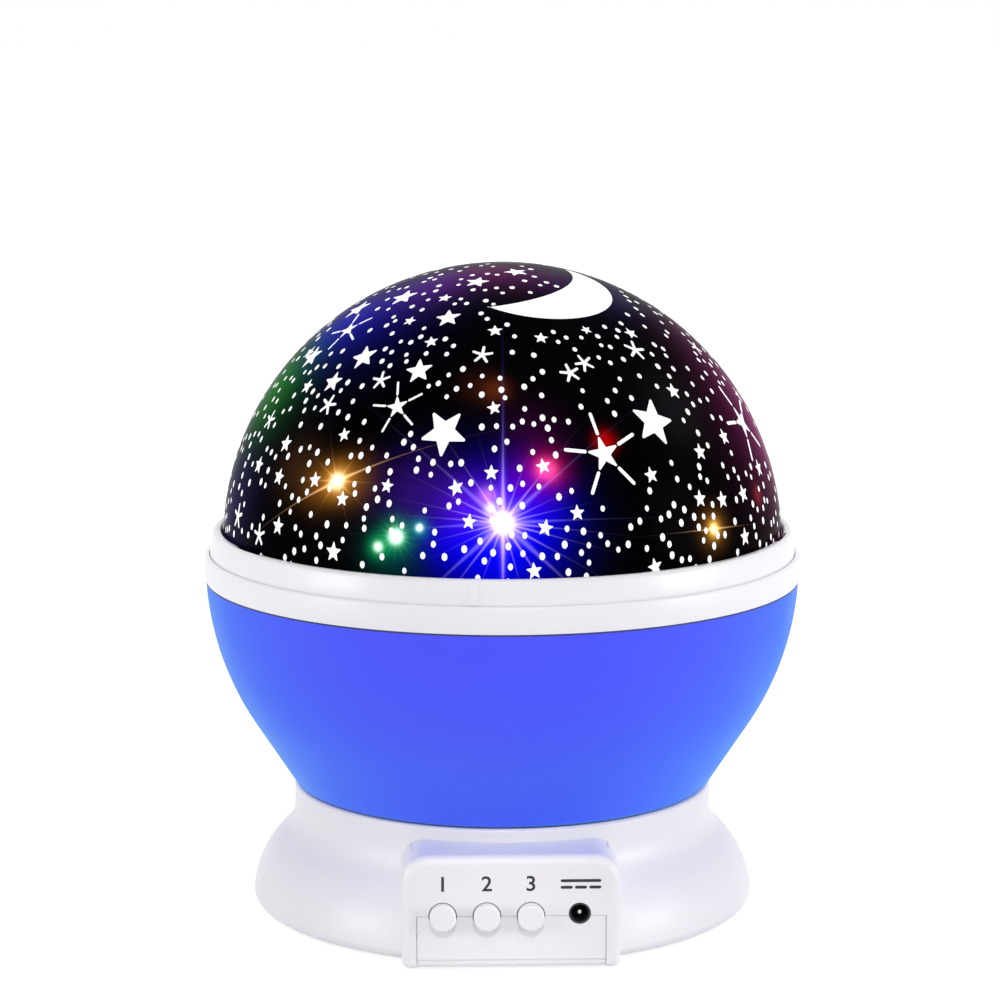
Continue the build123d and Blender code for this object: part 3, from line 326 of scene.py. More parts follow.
def glow_group():
    """A soft patch of light round a centre: colour * strength * exp(-(distance / width)^2)."""
    g = LightGroup("glow", Position=VECTOR, Centre=VECTOR, Width=FLOAT, Strength=FLOAT,
                   Colour=VECTOR)
    far = g.vectors("DISTANCE", g.given["Position"], g.given["Centre"])["Value"]
    square = g.maths("POWER", g.maths("DIVIDE", far, g.given["Width"]), 2.0)
    fade = g.maths("EXPONENT", g.maths("MULTIPLY", square, -1.0))
    return g.finish(g.maths("MULTIPLY", fade, g.given["Strength"]))


def ray_group():
    """A thin ray through a centre, both ways, that narrows and fades with distance."""
    g = LightGroup("ray", Position=VECTOR, Centre=VECTOR, Across=VECTOR, Width=FLOAT, Reach=FLOAT,
                   Strength=FLOAT, Colour=VECTOR)
    offset = g.vectors("SUBTRACT", g.given["Position"], g.given["Centre"])["Vector"]
    side = g.vectors("DOT_PRODUCT", offset, g.given["Across"])["Value"]
    far = g.vectors("DISTANCE", g.given["Position"], g.given["Centre"])["Value"]
    fade = g.maths("EXPONENT", g.maths("MULTIPLY", g.maths("DIVIDE", far, g.given["Reach"]), -1.0))
    width = g.maths("MULTIPLY", g.given["Width"], g.maths("ADD", fade, RAY_TIP))
    square = g.maths("POWER", g.maths("ABSOLUTE", g.maths("DIVIDE", side, width)), 2.0)
    line = g.maths("EXPONENT", g.maths("MULTIPLY", square, -1.0))
    return g.finish(g.maths("MULTIPLY", g.maths("MULTIPLY", line, fade), g.given["Strength"]))


# azimuth and latitude of the glints painted on the dome
BURST = (-1.8, 13.8)
PINK_GLINT = (7.2, 23.9)
AMBER_LEFT = (-37.9, 20.1)
AMBER_RIGHT = (44.5, 9.6)
GREEN_GLINT = (-22.9, 10.6)
LOW_GLINT = (-26.5, 8.4)
SMALL_GLINT = (-18.2, 12.5)
FAR_BURST = (118.0, 14.0)
FAR_AMBER = (-172.0, 20.0)
FAR_GREEN = (148.0, 12.0)

WHITE = (1.0, 1.0, 1.0)
PURE_BLUE = (0.0, 0.0, 1.0)
GREEN_HALO = (0.0, 0.62, 0.14)
GREEN_WHITE = (0.75, 1.0, 0.85)
AMBER_HALO = (0.50, 0.17, 0.012)
AMBER_WHITE = (1.0, 0.85, 0.4)

# azimuth, latitude, width in mm, strength and colour of each painted soft glow
GLOWS = (
    # blue and violet haze round the burst, and the burst's white middle
    (-1.8, 12.5, 10, 1.1, PURE_BLUE), (-12.9, 10.1, 4.4, 0.32, PURE_BLUE),
    (-8.7, 17.5, 5, 0.28, (0.28, 0.02, 1.0)), (7.1, 15.2, 5, 0.24, PURE_BLUE),
    (-5, 6, 9, 0.25, PURE_BLUE), (1.8, 20.5, 5, 0.2, (0.4, 0.0, 0.9)),
    (*BURST, 3.0, 0.9, (0.4, 0.3, 1.0)), (*BURST, 1.4, 3.2, WHITE),
    (-4.8, 18.9, 1.7, 0.6, (1.0, 0.3, 0.9)), (-4.2, 16.6, 1.1, 1.0, (1.0, 0.9, 1.0)),
    # pink glint up to the right of it, dull haze higher up, violet to its left, red to its right
    (*PINK_GLINT, 3.6, 0.5, (0.85, 0.0, 0.10)), (*PINK_GLINT, 1.9, 1.4, (1.0, 0.08, 0.25)),
    (5, 31, 6, 0.14, (0.14, 0.0, 0.09)), (-19, 19, 7.5, 0.32, (0.07, 0.01, 0.42)),
    (-3.5, 40.5, 2.6, 0.3, (0.3, 0.05, 0.01)), (-8, 41.5, 4.0, 0.12, (0.15, 0.03, 0.01)),
    (21, 29, 2.0, 0.8, (0.6, 0.0, 0.0)),
    # painted amber glint on the left
    (-42.2, 19.1, 4.4, 0.32, AMBER_HALO), (-34.2, 20.6, 4.4, 0.32, AMBER_HALO),
    (*AMBER_LEFT, 3.1, 0.8, (0.95, 0.40, 0.04)), (*AMBER_LEFT, 1.4, 2.4, (1.0, 0.95, 0.55)),
    (-50.0, 21.0, 6.0, 0.06, (0.5, 0.2, 0.05)),
    # green glints
    (*GREEN_GLINT, 2.8, 0.6, GREEN_HALO), (*GREEN_GLINT, 1.2, 3.0, GREEN_WHITE),
    (*LOW_GLINT, 2.0, 0.6, GREEN_HALO), (*LOW_GLINT, 0.8, 2.2, GREEN_WHITE),
    (*SMALL_GLINT, 1.6, 0.5, (0.0, 0.5, 0.35)), (*SMALL_GLINT, 0.65, 2.0, (0.65, 1.0, 0.95)),
    (-24, 8, 5.5, 0.12, (0.0, 0.3, 0.25)),
    # painted amber and red glints on the right
    (*AMBER_RIGHT, 3.6, 0.5, (0.34, 0.13, 0.015)), (*AMBER_RIGHT, 1.7, 1.2, (0.95, 0.5, 0.06)),
    (*AMBER_RIGHT, 0.8, 2.6, AMBER_WHITE), (63.5, 13.6, 2.0, 0.5, (0.4, 0.03, 0.04)),
    # coloured haze towards the edges
    (-60, 57, 12.5, 0.22, (0.015, 0.012, 0.62)), (-72, 54, 9, 0.22, (0.03, 0.03, 1.0)),
    (-79, 36, 11, 0.5, (0.01, 0.26, 0.015)), (-76, 13, 11, 0.2, (0.05, 0.03, 0.25)),
    (-50, 71, 9, 0.34, (0.15, 0.02, 0.4)), (-16, 80, 8, 0.3, (0.22, 0.0, 0.12)),
    (30, 76, 8, 0.4, (0.07, 0.0, 0.1)), (60, 66, 9, 0.4, (0.02, 0.006, 0.10)),
    (80, 46, 11, 0.3, (0.10, 0.004, 0.07)), (86, 26, 17, 1.0, (0.20, 0.008, 0.10)),
    (44, 34, 8, 0.5, (0.012, 0.012, 0.014)),
    # the far side
    (118, 12, 13, 0.8, (0.0, 0.0, 0.9)), (140, 36, 15, 0.4, (0.0, 0.16, 0.02)),
    (172, 14, 14, 0.4, (0.13, 0.006, 0.09)), (-158, 30, 15, 0.3, (0.008, 0.01, 0.5)),
    (-122, 16, 14, 0.4, (0.12, 0.02, 0.2)), (-130, 58, 14, 0.35, (0.14, 0.0, 0.08)),
    (160, 62, 14, 0.35, (0.01, 0.01, 0.3)), (*FAR_AMBER, 1.4, 2.4, AMBER_WHITE),
    (*FAR_AMBER, 4.4, 0.7, (0.5, 0.2, 0.02)), (*FAR_GREEN, 1.2, 2.4, (0.6, 1.0, 0.75)),
    (*FAR_GREEN, 3.0, 0.7, (0.0, 0.5, 0.13)), (*FAR_BURST, 1.4, 3.2, WHITE),
)

VIOLET = (0.42, 0.30, 1.0)
BLUE = (0.10, 0.06, 1.0)
PINK = (1.0, 0.62, 0.85)
AMBER = (1.0, 0.55, 0.25)
GREEN = (0.1, 0.9, 0.3)
GLINT_RAYS = 8

# azimuth, latitude, tilt in degrees, width and reach in mm, strength and colour of each painted ray
RAYS = (
    (*BURST, 90, 1.2, 10.0, 0.8, BLUE), (*BURST, 90, 0.6, 6.0, 1.5, PINK),
    (*BURST, 42, 0.7, 7.0, 1.2, VIOLET), (*BURST, 138, 0.7, 7.5, 1.1, VIOLET),
    (*BURST, 52, 0.45, 4.6, 1.4, PINK), (*BURST, 124, 0.45, 4.6, 1.4, PINK),
    (*BURST, 3, 0.5, 6.5, 1.1, VIOLET), (*BURST, -5, 0.35, 5.0, 1.1, PINK),
    (*BURST, 14, 0.35, 3.6, 1.2, PINK), (*BURST, 26, 0.4, 3.0, 1.2, PINK),
    (*BURST, 70, 0.4, 3.2, 1.2, PINK), (*BURST, 106, 0.4, 3.4, 1.2, PINK),
    (*BURST, 152, 0.45, 4.4, 1.2, PINK), (*BURST, 166, 0.35, 4.6, 1.2, PINK),
    (*AMBER_LEFT, 28, 0.28, 8.5, 0.9, AMBER), (*AMBER_LEFT, 28, 0.5, 4.0, 1.0, AMBER),
    (*AMBER_LEFT, 4, 0.4, 2.8, 0.9, AMBER), (*AMBER_LEFT, 60, 0.35, 2.2, 0.9, AMBER),
    (*AMBER_LEFT, 118, 0.35, 2.4, 0.9, AMBER), (*AMBER_LEFT, 150, 0.35, 2.6, 0.9, AMBER),
    (*AMBER_RIGHT, -3, 0.26, 4.0, 1.2, AMBER),
    (*FAR_BURST, 90, 0.8, 6.0, 1.6, VIOLET), (*FAR_BURST, 30, 0.7, 4.5, 1.6, VIOLET),
    (*FAR_BURST, 150, 0.7, 4.5, 1.6, VIOLET), (*FAR_AMBER, 24, 0.4, 7.0, 1.4, AMBER),
    *((*GREEN_GLINT, 180 / GLINT_RAYS * i, 0.3, 1.5, 0.8, GREEN) for i in range(GLINT_RAYS)),
)


def light_node(look, group, **values):
    """The painted glow of one patch or ray, in a material's node tree."""
    node = look.add("ShaderNodeGroup", node_tree=group)
    look.link(look.place, node.inputs["Position"])
    for name, value in values.items():
        node.inputs[name].default_value = value
    return node.outputs[0]


def dome_lights(look):
    """The painted glow of every patch and then of every ray."""
    glow, ray = glow_group(), ray_group()
    for azimuth, latitude, width, strength, colour in GLOWS:
        yield light_node(
            look, glow, Centre=dome_point(azimuth, latitude), Width=width * MM,
            Strength=float(strength), Colour=colour)
    for azimuth, latitude, tilt, width, reach, strength, colour in RAYS:
        _, level, up = dome_axes(azimuth, latitude)
        t = math.radians(tilt)
        yield light_node(
            look, ray, Centre=dome_point(azimuth, latitude),
            Across=up * math.cos(t) - level * math.sin(t), Width=width * MM, Reach=reach * MM,
            Strength=float(strength), Colour=colour)


def dark_print():
    """The dome's black print, with coloured glows and glints painted into its emission."""
    m = Material("dome_print_and_glows", Specular_IOR_Level=0.002, Emission_Strength=1.0)
    m.mottle(linear(2, 2, 3), linear(4, 4, 6), scale=35, detail=3)
    m.rough(m.noise(scale=80, detail=3), 0.19, 0.26)
    m.bump(m.noise(scale=30), 0.05 * MM, strength=0.4)
    total = None
    for light in dome_lights(m):
        if total is None:
            total = light
            continue
        both = m.add("ShaderNodeVectorMath", operation="ADD")
        m.link(total, both.inputs[0])
        m.link(light, both.inputs[1])
        total = both.outputs[0]
    # the painted glows and glints go into the black print's emission; they are painted light, not
    # lamps
    m.link(total, m.shader.inputs["Emission Color"])
    return m


def clear_print():
    """The clear places of the print, white, with a painted glow for the light that comes through
    them.
    """
    # the white emission paints a glow on the print; no lamp lights it from behind here
    m = Material(
        "star_print_glowing", roughness=0.18, Emission_Color=(*WHITE, 1.0), Emission_Strength=0.25)
    m.mottle(linear(246, 246, 250), linear(240, 241, 248), scale=60, detail=2)
    m.bump(m.noise(scale=1200), 0.006 * MM)
    return m


dome_print_and_glows, star_print_glowing = dark_print(), clear_print()

# ---- stars, moon and dots of the dome's print ----------------------------------------------------
TIPS = 5                    # of a star
CAP_STEPS = 4               # straight edges that round the end of a bar
DOT_SIDES = 10
PATCH_STEP = 1.3 * MM       # greatest width of a patch's rings, so that it follows the dome
FORMING = 0.36              # how much the dome's forming stretches the print at the rim


def star_outline(radius, waist, blunt, tilt):
    """Outline of a star whose first tip points up, turned by the tilt.

    Waist and blunt are the notches' radius and half the tips' width, as shares of the radius.
    """
    points = []
    for i in range(TIPS):
        tip, notch = (math.radians(90 + tilt + 360.0 * (i + part) / TIPS) for part in (0, 0.5))
        for side in (-0.5, 0.0, 0.5):
            r = radius * (1 - abs(side) * blunt)
            turn = tip + 2 * side * blunt
            points.append((r * math.cos(turn), r * math.sin(turn)))
        points.append((radius * waist * math.cos(notch), radius * waist * math.sin(notch)))
    return points


def bar_outline(angle, start, end, width):
    """Outline of a round-ended bar that points away from the middle at an angle."""
    a = math.radians(angle)
    along, across = Vector((math.cos(a), math.sin(a))), Vector((-math.sin(a), math.cos(a)))
    half = width / 2
    points = []
    for end_at, first in ((end, -90), (start, 90)):
        for step in range(CAP_STEPS + 1):
            b = math.radians(first + 180 / CAP_STEPS * step)
            point = along * (end_at + half * math.cos(b)) + across * half * math.sin(b)
            points.append((point.x, point.y))
    return points


def dot_outline(radius):
    turns = [math.tau * i / DOT_SIDES for i in range(DOT_SIDES)]
    return [(radius * math.cos(turn), radius * math.sin(turn)) for turn in turns]


def forming(latitude):
    """How much longer than wide the print is: round at the crown, stretched near the rim."""
    return 1.0 + FORMING * math.cos(math.radians(latitude))


def lay_patch(mesh, azimuth, latitude, outline, stretch=1.0):
    """A thin patch on the dome, stretched upwards, in rings about its middle."""
    outline = [(u, v * stretch) for u, v in outline]
    count = len(outline)
    middle = (sum(p[0] for p in outline) / count, sum(p[1] for p in outline) / count)
    span = max(math.dist(p, middle) for p in outline)
    steps = max(1, math.ceil(span / PATCH_STEP))
    centre = mesh.verts.new(dome_point(azimuth, latitude, *middle, PRINT_LIFT))
    inner = None
    for step in range(1, steps + 1):
        share = step / steps
        ring = [
            mesh.verts.new(dome_point(
                azimuth, latitude,
                middle[0] + (u - middle[0]) * share, middle[1] + (v - middle[1]) * share,
                PRINT_LIFT))
            for u, v in outline
        ]
        for i in range(count):
            j = (i + 1) % count
            if inner is None:
                mesh.faces.new((centre, ring[i], ring[j]))
            else:
                mesh.faces.new((inner[i], ring[i], ring[j], inner[j]))
        inner = ring


def finish_print(mesh, name):
    bmesh.ops.recalc_face_normals(mesh, faces=mesh.faces)
    piece = add_piece(name, mesh_data(name, mesh), star_print_glowing)
    for polygon in piece.data.polygons:
        polygon.use_smooth = True
    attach(piece, "dome")


# kinds of star, with the radius at the waist and half the tips' width as shares of the radius
PLAIN, SLIM, RAYED = "plain", "slim", "rayed"
FORM = {PLAIN: (0.47, 0.05), SLIM: (0.24, 0.13), RAYED: (0.42, 0.06)}
# the bars beyond a rayed star's tips: where they start, how far they go and how wide, in radii
BAR_START, BAR_END, BAR_WIDTH = 1.2, 2.4, 0.21
STAR_STRETCH = 0.3          # share of the dome's forming that shows in a star

# azimuth, latitude, radius in mm, tilt in degrees and kind
STARS = (
    (-15.0, 31.3, 4.8, 180, PLAIN), (34.8, 32.1, 4.9, -18, PLAIN), (20.2, 26.5, 3.4, 8, RAYED),
    (-27.7, 36.1, 2.3, 17, RAYED), (-63.6, 52.7, 2.3, 35, RAYED), (69.3, 28.2, 3.4, 10, RAYED),
    (-48.0, 35.0, 2.3, -8, SLIM), (-35.1, 41.7, 2.2, 10, SLIM), (16.5, 44.2, 2.3, 10, SLIM),
    (21.6, 46.4, 2.2, 20, SLIM), (41.2, 48.6, 2.6, -20, SLIM), (-69.0, 29.2, 2.2, 0, SLIM),
    (-58.8, 6.9, 2.3, 5, SLIM), (-70.1, 8.9, 2.6, 0, SLIM), (-7.8, 49.0, 2.3, -5, SLIM),
    (-25.0, 44.5, 2.9, 14, PLAIN), (-45.2, 46.7, 3.0, 25, PLAIN), (-23.0, 59.2, 2.7, 15, PLAIN),
    (-55.5, 64.9, 3.0, 30, PLAIN), (-20.1, 73.7, 2.6, 0, PLAIN), (13.9, 79.9, 2.6, 10, PLAIN),
    (-76.6, 58.4, 3.2, 35, PLAIN), (-69.4, 44.4, 2.9, 25, PLAIN), (-50.7, 40.0, 2.4, 10, PLAIN),
    (-36.5, 6.5, 1.9, 0, PLAIN), (-3.9, 36.6, 1.45, 12, PLAIN), (-24.9, 52.0, 1.5, 20, PLAIN),
    (-4.4, 55.6, 1.6, 5, PLAIN), (10.7, 53.4, 1.5, -10, PLAIN), (27.9, 55.1, 1.2, 15, PLAIN),
    (-39.4, 29.3, 1.45, 20, PLAIN), (45.5, 38.0, 1.8, -15, PLAIN), (45.5, 24.8, 1.7, -8, PLAIN),
    (56.2, 26.7, 1.7, 0, PLAIN), (30.3, 21.6, 1.6, 5, PLAIN), (41.8, 15.8, 1.7, -5, PLAIN),
    (48.5, 14.8, 1.7, 0, PLAIN), (56.6, 14.9, 1.8, 8, PLAIN), (54.7, 6.6, 1.8, 0, PLAIN),
    (28.7, 4.0, 1.7, 12, PLAIN), (4.1, 4.7, 1.6, 6, PLAIN), (-8.4, 14.0, 1.5, -6, PLAIN),
    (6.4, 12.8, 1.6, -12, PLAIN), (12.9, 15.4, 1.5, 0, PLAIN), (6.6, 24.6, 1.5, 10, PLAIN),
    (-4.2, 23.4, 1.5, 0, PLAIN), (-11.3, 20.4, 1.6, 18, PLAIN), (-25.9, 20.1, 1.4, -5, PLAIN),
    (-35.8, 16.8, 1.5, 5, PLAIN), (-43.9, 19.7, 1.6, 10, PLAIN), (-55.4, 19.0, 1.7, -5, PLAIN),
    (-65.1, 20.1, 1.8, 0, PLAIN), (-56.8, 25.6, 1.8, 10, PLAIN), (-52.4, 9.6, 1.8, 0, PLAIN),
    (68.0, 18.5, 1.8, 0, PLAIN), (-31.0, 66.0, 1.5, 10, PLAIN), (-60.0, 38.0, 1.7, 5, PLAIN),
    (-38.0, 57.5, 1.4, 0, PLAIN), (75.0, 46.0, 2.2, 10, SLIM), (45.0, 53.0, 1.6, 0, PLAIN),
    (80.0, 33.0, 2.0, 0, SLIM), (-74.0, 45.0, 1.8, 0, PLAIN),
)

# what is scattered: far stars by radius in mm, kind and number, and dots
PLACE_TRIES = 60
FAR_STARS = ((4.8, PLAIN, 3), (3.3, RAYED, 3), (2.3, RAYED, 4), (2.8, PLAIN, 13),
             (2.3, SLIM, 12), (1.6, PLAIN, 38))
FAR_SIDE, FAR_HEIGHTS = (88, 272), (5.0, 80.0)      # azimuths and latitudes
FAR_TILT = 25                       # greatest tilt of a far star, in degrees
DOT_TRIES = 900
DOT_SIZES = (0.46, 0.62)            # least and greatest radius in mm
ALL_ROUND, DOT_HEIGHTS = (-180, 180), (2.4, 87.0)   # azimuths and latitudes
DOT_ROOM = 1.2                      # room that a dot takes, in radii
STAR_GAP, DOT_GAP = 1.2, 0.7        # least gap in mm to what is printed already

# The moon is the space between two arcs that meet at its horns. Each arc has its centre and
# radius in mm, about the moon's place, and the angles where it starts and ends.
MOON_AT = (30.0, 65.0)
ROUND, ROUND_TURN = (-1.7, 10.2, 16.8), (-157.2, 33.2)
BITE, BITE_TURN = (-9.4, 23.7, 21.8), (-111.7, -11.5)
MOON_ALONG, MOON_ACROSS = 48, 9     # faces
# discs that keep its place clear of stars and dots, each with its place and radius in mm
MOON_ROOM = ((-11, -1, 4.5), (-4, -3, 5.5), (4, -1, 6.0), (10, 5, 7.0), (12, 13, 6.0))


def star_reach(radius, kind):
    return radius * (BAR_END if kind == RAYED else 1.0)


class Sky:
    """Finds free places on the dome for what is scattered over it."""

    def __init__(self, seed):
        self.chance = random.Random(seed)
        self.taken = [(outward(a, l), star_reach(r, kind)) for a, l, r, _, kind in STARS]
        for u, v, r in MOON_ROOM:
            spot = dome_point(*MOON_AT, u * MM, v * MM) - DOME_CENTRE
            self.taken.append((spot.normalized(), r))

    def free_place(self, radius, gap, azimuths, latitudes):
        """A place that keeps a distance to all that is printed, or None after some tries."""
        sines = [math.sin(math.radians(latitude)) for latitude in latitudes]
        for _ in range(PLACE_TRIES):
            azimuth = self.chance.uniform(*azimuths)
            latitude = math.degrees(math.asin(self.chance.uniform(*sines)))
            spot = outward(azimuth, latitude)
            if all(spot.angle(other) * DOME_R / MM > radius + r + gap for other, r in self.taken):
                self.taken.append((spot, radius))
                return azimuth, latitude
        return None

    def far_stars(self):
        for radius, kind, count in FAR_STARS:
            for _ in range(count):
                place = self.free_place(star_reach(radius, kind), STAR_GAP, FAR_SIDE, FAR_HEIGHTS)
                if place:
                    yield (*place, radius, self.chance.uniform(-FAR_TILT, FAR_TILT), kind)

    def dots(self):
        for _ in range(DOT_TRIES):
            radius = self.chance.uniform(*DOT_SIZES)
            place = self.free_place(radius * DOT_ROOM, DOT_GAP, ALL_ROUND, DOT_HEIGHTS)
            if place:
                yield (*place, radius)


def print_stars(sky):
    mesh = bmesh.new()
    for azimuth, latitude, radius, tilt, kind in (*STARS, *sky.far_stars()):
        stretch = 1.0 + STAR_STRETCH * (forming(latitude) - 1.0)
        size = radius * MM
        lay_patch(mesh, azimuth, latitude, star_outline(size, *FORM[kind], tilt), stretch)
        if kind == RAYED:
            for i in range(TIPS):
                bar = bar_outline(
                    90 + tilt + 360 / TIPS * i, BAR_START * size, BAR_END * size, BAR_WIDTH * size)
                lay_patch(mesh, azimuth, latitude, bar, stretch)
    finish_print(mesh, "dome_stars")


def print_dots(sky):
    mesh = bmesh.new()
    for azimuth, latitude, radius in sky.dots():
        lay_patch(mesh, azimuth, latitude, dot_outline(radius * MM), forming(latitude))
    finish_print(mesh, "dome_dots")


def on_arc(arc, turn, share):
    """The point at a share of the way along an arc."""
    x, y, radius = arc
    start, end = turn
    a = math.radians(start + (end - start) * share)
    return Vector((x + radius * math.cos(a), y + radius * math.sin(a)))


def print_moon():
    mesh = bmesh.new()
    rows = []
    for i in range(MOON_ALONG + 1):
        rim, bite = (
            on_arc(arc, turn, i / MOON_ALONG)
            for arc, turn in ((ROUND, ROUND_TURN), (BITE, BITE_TURN)))
        row = []
        for k in range(MOON_ACROSS + 1):
            spot = rim.lerp(bite, k / MOON_ACROSS) * MM
            row.append(mesh.verts.new(dome_point(*MOON_AT, spot.x, spot.y, PRINT_LIFT)))
        rows.append(row)
    for first, second in zip(rows, rows[1:]):
        for k in range(MOON_ACROSS):
            mesh.faces.new((first[k], second[k], second[k + 1], first[k + 1]))
    finish_print(mesh, "dome_moon")


sky = Sky(seed=19)
print_stars(sky)
print_dots(sky)
print_moon()

# ---- marks on the control panel, in mm -----------------------------------------------------------
NUMERAL_PLACES = (-14.2, -5.1, 4.0)     # over the buttons
NUMERAL_HEIGHT = 18.6
NUMERAL_SIZE = 4.5
NUMERAL_BOLD = 0.05                     # how far the strokes are thickened
NUMERAL_WIDEN = 1.05
# direct current, one full line over three dashes, over the inlet
SYMBOL_X = 14.3
LINE_HEIGHT, LINE_LENGTH = 19.3, 7.8
DASH_HEIGHT, DASH_LENGTH, DASH_PITCH = 17.9, 1.9, 2.95
SYMBOL_STROKE = 0.62

ink = Material("ink", roughness=0.5)
ink.mottle(linear(22, 22, 26), linear(32, 32, 36), scale=900, detail=3)
ink.bump(ink.noise(scale=2600), 0.01 * MM)


def on_panel(x, z, u=0.0, v=0.0):
    """The point u across and v up, in metres, from a place on the panel in mm."""
    return Vector((x * MM + u, PANEL_Y - INK_LIFT, z * MM + v))


def ink_piece(name, data):
    piece = add_piece(name, data, ink)
    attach(piece, "base")


def print_numeral(number, x):
    name = f"numeral_{number}"
    text = bpy.data.curves.new(name, "FONT")
    text.body = str(number)
    text.size = NUMERAL_SIZE * MM
    text.align_x = "CENTER"
    text.align_y = "CENTER"
    text.offset = NUMERAL_BOLD * MM
    holder = bpy.data.objects.new("numeral_form", text)
    bpy.context.scene.collection.objects.link(holder)
    bpy.context.view_layer.update()
    formed = holder.evaluated_get(bpy.context.evaluated_depsgraph_get())
    data = bpy.data.meshes.new_from_object(formed)
    bpy.data.objects.remove(holder)
    data.name = name
    for vertex in data.vertices:
        u, v = vertex.co.x * NUMERAL_WIDEN, vertex.co.y
        vertex.co = on_panel(x, NUMERAL_HEIGHT, u, v)
    ink_piece(name, data)


def print_symbol():
    mesh = bmesh.new()
    strokes = [(SYMBOL_X, LINE_HEIGHT, LINE_LENGTH)]
    strokes += [(SYMBOL_X + DASH_PITCH * i, DASH_HEIGHT, DASH_LENGTH) for i in (-1, 0, 1)]
    for x, z, length in strokes:
        outline = bar_outline(0, -length / 2 * MM, length / 2 * MM, SYMBOL_STROKE * MM)
        mesh.faces.new([mesh.verts.new(on_panel(x, z, u, v)) for u, v in outline])
    ink_piece("inlet_symbol", mesh_data("inlet_symbol", mesh))


for number, x in enumerate(NUMERAL_PLACES, start=1):
    print_numeral(number, x)
print_symbol()

# ---- painted shadow line: a dark ring in the groove between the bowl and its rim -----------------
SHADOW_LINE_OUTER = 64.93 * MM
SHADOW_LINE_INNER = SHADOW_LINE_OUTER - 0.5 * MM
SHADOW_LINE_LOW, SHADOW_LINE_HIGH = 72.42 * MM, 72.86 * MM
SHADOW_LINE_TURNS = 180


def lay_seal():
    # a dark blue-grey look for the ring that paints the shadow line in the seam; it is no seal
    rubber = moulded("shadow_line_dark", linear(30, 42, 96), linear(38, 50, 108), 0.6)
    section = ((SHADOW_LINE_INNER, SHADOW_LINE_LOW), (SHADOW_LINE_OUTER, SHADOW_LINE_LOW), (SHADOW_LINE_OUTER, SHADOW_LINE_HIGH),
               (SHADOW_LINE_INNER, SHADOW_LINE_HIGH))
    mesh = bmesh.new()
    hoops = []
    for i in range(SHADOW_LINE_TURNS):
        a = math.tau * i / SHADOW_LINE_TURNS
        hoops.append([mesh.verts.new((r * math.cos(a), r * math.sin(a), z)) for r, z in section])
    for i, hoop in enumerate(hoops):
        following = hoops[(i + 1) % SHADOW_LINE_TURNS]
        for k in range(len(section)):
            after = (k + 1) % len(section)
            mesh.faces.new((hoop[k], following[k], following[after], hoop[after]))
    piece = add_piece("rim_shadow_line", mesh_data("rim_shadow_line", mesh), rubber)
    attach(piece, "turntable")


lay_seal()

# ---- finishes of the frame's own parts -----------------------------------------------------------
looks = {finish.name: finish.material for finish in FINISHES}
looks["dome_plastic"] = dome_print_and_glows.material
for row in frame["record"]["subparts"]:
    for slot in nodes[row["node"]].material_slots:
        slot.material = looks[row["material_slot"]]

# ---- studio: floor, surroundings, lamps and camera -----------------------------------------------
FLOOR_HALF = 6.0            # half the floor's width
FLOOR_SHADOW = 0.5          # share of the floor's own shading that the camera sees
FLOOR_WHITE = 0.80          # and the plain light on top of it
SURROUND = 0.53             # strength of the surroundings as a light
SOFTBOX_AIM = 0.06          # height that the softboxes look at
SPOT_SIZE = 0.03            # radius of the spotlight's source, which softens its shadows
SENSOR_WIDTH = 36           # mm

scene = bpy.context.scene
scene.view_settings.view_transform = "Standard"


def white_for_camera(tree, plain, white):
    """The plain shader for the light, and the white one where the camera, gloss or glass looks."""
    path = tree.nodes.new("ShaderNodeLightPath")
    value = path.outputs["Is Camera Ray"]
    for name in ("Is Glossy Ray", "Is Transmission Ray"):
        larger = tree.nodes.new("ShaderNodeMath")
        larger.operation = "MAXIMUM"
        tree.links.new(value, larger.inputs[0])
        tree.links.new(path.outputs[name], larger.inputs[1])
        value = larger.outputs[0]
    mix = tree.nodes.new("ShaderNodeMixShader")
    tree.links.new(value, mix.inputs[0])
    tree.links.new(plain, mix.inputs[1])
    tree.links.new(white, mix.inputs[2])
    return mix.outputs[0]


def lay_floor():
    paint = Material("floor_paint", roughness=0.8)
    paint.mottle(linear(240, 240, 241), linear(237, 237, 239), scale=3, detail=2)
    paint.bump(paint.noise(scale=300), 0.05 * MM, strength=0.3)
    shaded = paint.shader.outputs[0]
    black = paint.add("ShaderNodeBsdfDiffuse")
    black.inputs["Color"].default_value = (0, 0, 0, 1)
    dimmed = paint.add("ShaderNodeMixShader")
    dimmed.inputs[0].default_value = FLOOR_SHADOW
    paint.link(black.outputs[0], dimmed.inputs[1])
    paint.link(shaded, dimmed.inputs[2])
    lit = paint.add("ShaderNodeEmission")
    lit.inputs["Strength"].default_value = FLOOR_WHITE
    white = paint.add("ShaderNodeAddShader")
    paint.link(dimmed.outputs[0], white.inputs[0])
    paint.link(lit.outputs[0], white.inputs[1])
    paint.link(white_for_camera(paint.tree, shaded, white.outputs[0]), paint.out.inputs[0])
    mesh = bmesh.new()
    bmesh.ops.create_grid(mesh, x_segments=24, y_segments=24, size=FLOOR_HALF)
    floor = add_piece("floor", mesh_data("floor", mesh), paint)


def set_surroundings():
    world = bpy.data.worlds.new("studio")
    world.use_nodes = True
    scene.world = world
    tree = world.node_tree
    tree.nodes.clear()
    plain, white = (tree.nodes.new("ShaderNodeBackground") for _ in range(2))
    for background in (plain, white):
        background.inputs["Color"].default_value = (1, 1, 1, 1)
    plain.inputs["Strength"].default_value = SURROUND
    out = tree.nodes.new("ShaderNodeOutputWorld")
    tree.links.new(white_for_camera(tree, plain.outputs[0], white.outputs[0]), out.inputs[0])


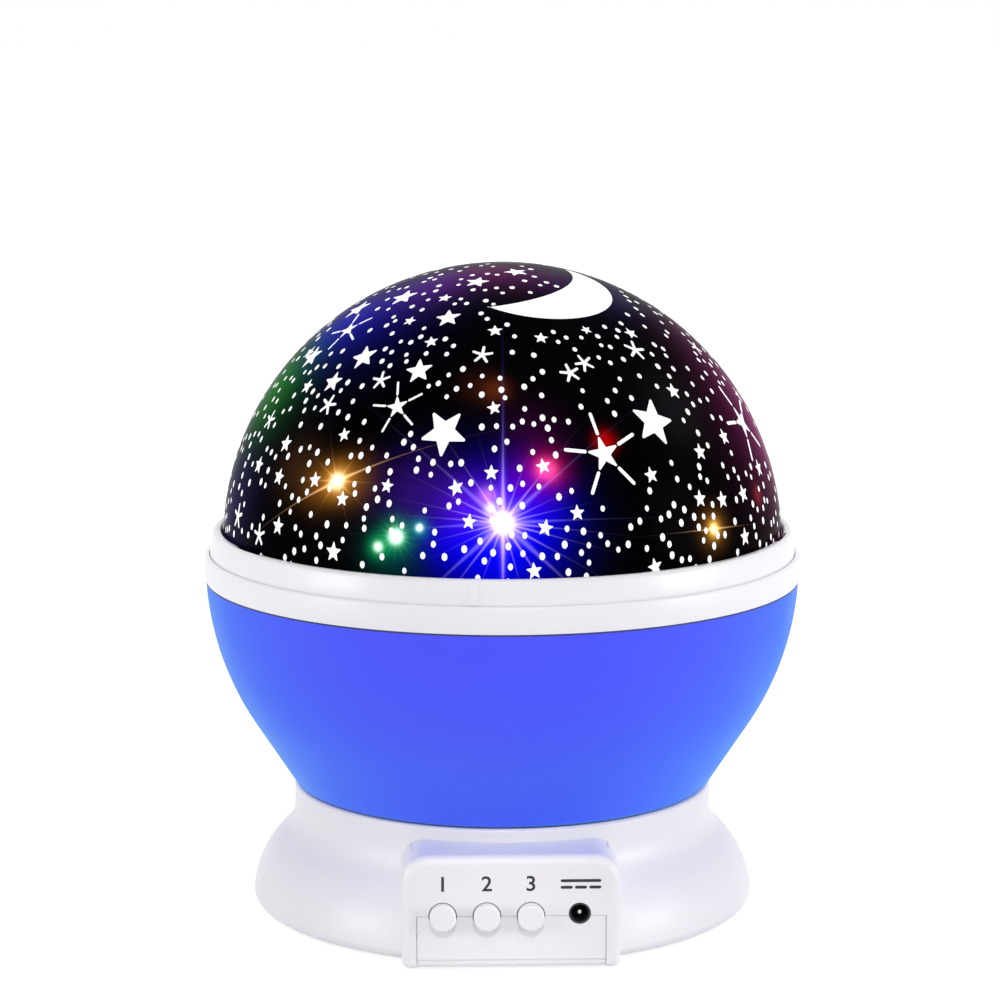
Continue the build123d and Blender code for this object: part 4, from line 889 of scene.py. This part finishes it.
def aim(data, azimuth, elevation, distance, height):
    """A lamp that looks at the object's axis, at a height."""
    lamp = bpy.data.objects.new(data.name, data)
    away = outward(azimuth, elevation)
    lamp.location = Vector((0, 0, height)) + away * distance
    lamp.rotation_euler = away.to_track_quat("Z", "Y").to_euler()
    scene.collection.objects.link(lamp)


def softbox(name, azimuth, elevation, distance, size, power):
    """A square lamp."""
    data = bpy.data.lights.new(name, "AREA")
    data.size = size
    data.energy = power
    aim(data, azimuth, elevation, distance, SOFTBOX_AIM)


def spotlight(name, azimuth, elevation, distance, height, reach, power):
    """A lamp that lights only a soft-edged round patch, to a reach about its aim."""
    data = bpy.data.lights.new(name, "SPOT")
    data.spot_size = 2 * math.atan(reach / distance)
    data.spot_blend = 1.0
    data.shadow_soft_size = SPOT_SIZE
    data.energy = power
    aim(data, azimuth, elevation, distance, height)


def set_camera(azimuth, distance, height, down, shift, focal_length):
    """A camera before the object, shifted to its side, that looks down by an angle."""
    data = bpy.data.cameras.new("camera")
    data.sensor_width = SENSOR_WIDTH
    data.lens = focal_length
    camera = bpy.data.objects.new("camera", data)
    turn = math.radians(azimuth)
    side = Vector((math.cos(turn), math.sin(turn), 0)) * shift
    camera.location = side + Vector((
        math.sin(turn) * distance, -math.cos(turn) * distance, height))
    camera.rotation_euler = (math.radians(90 - down), 0, turn)
    scene.collection.objects.link(camera)
    scene.camera = camera


lay_floor()
set_surroundings()
softbox("softbox_right", azimuth=72, elevation=11, distance=1.6, size=0.6, power=10.0)
softbox("softbox_left", azimuth=-68, elevation=11, distance=1.6, size=0.6, power=7.6)
softbox("softbox_top", azimuth=8, elevation=54, distance=1.5, size=0.8, power=2.6)
softbox("softbox_back", azimuth=180, elevation=40, distance=1.8, size=1.4, power=7.0)
spotlight("spot_panel", azimuth=0, elevation=42, distance=1.2, height=-0.040, reach=0.046,
          power=16.0)
set_camera(azimuth=-1.9, distance=0.700, height=0.2095, down=9.76, shift=-0.5 * MM,
           focal_length=116.6)
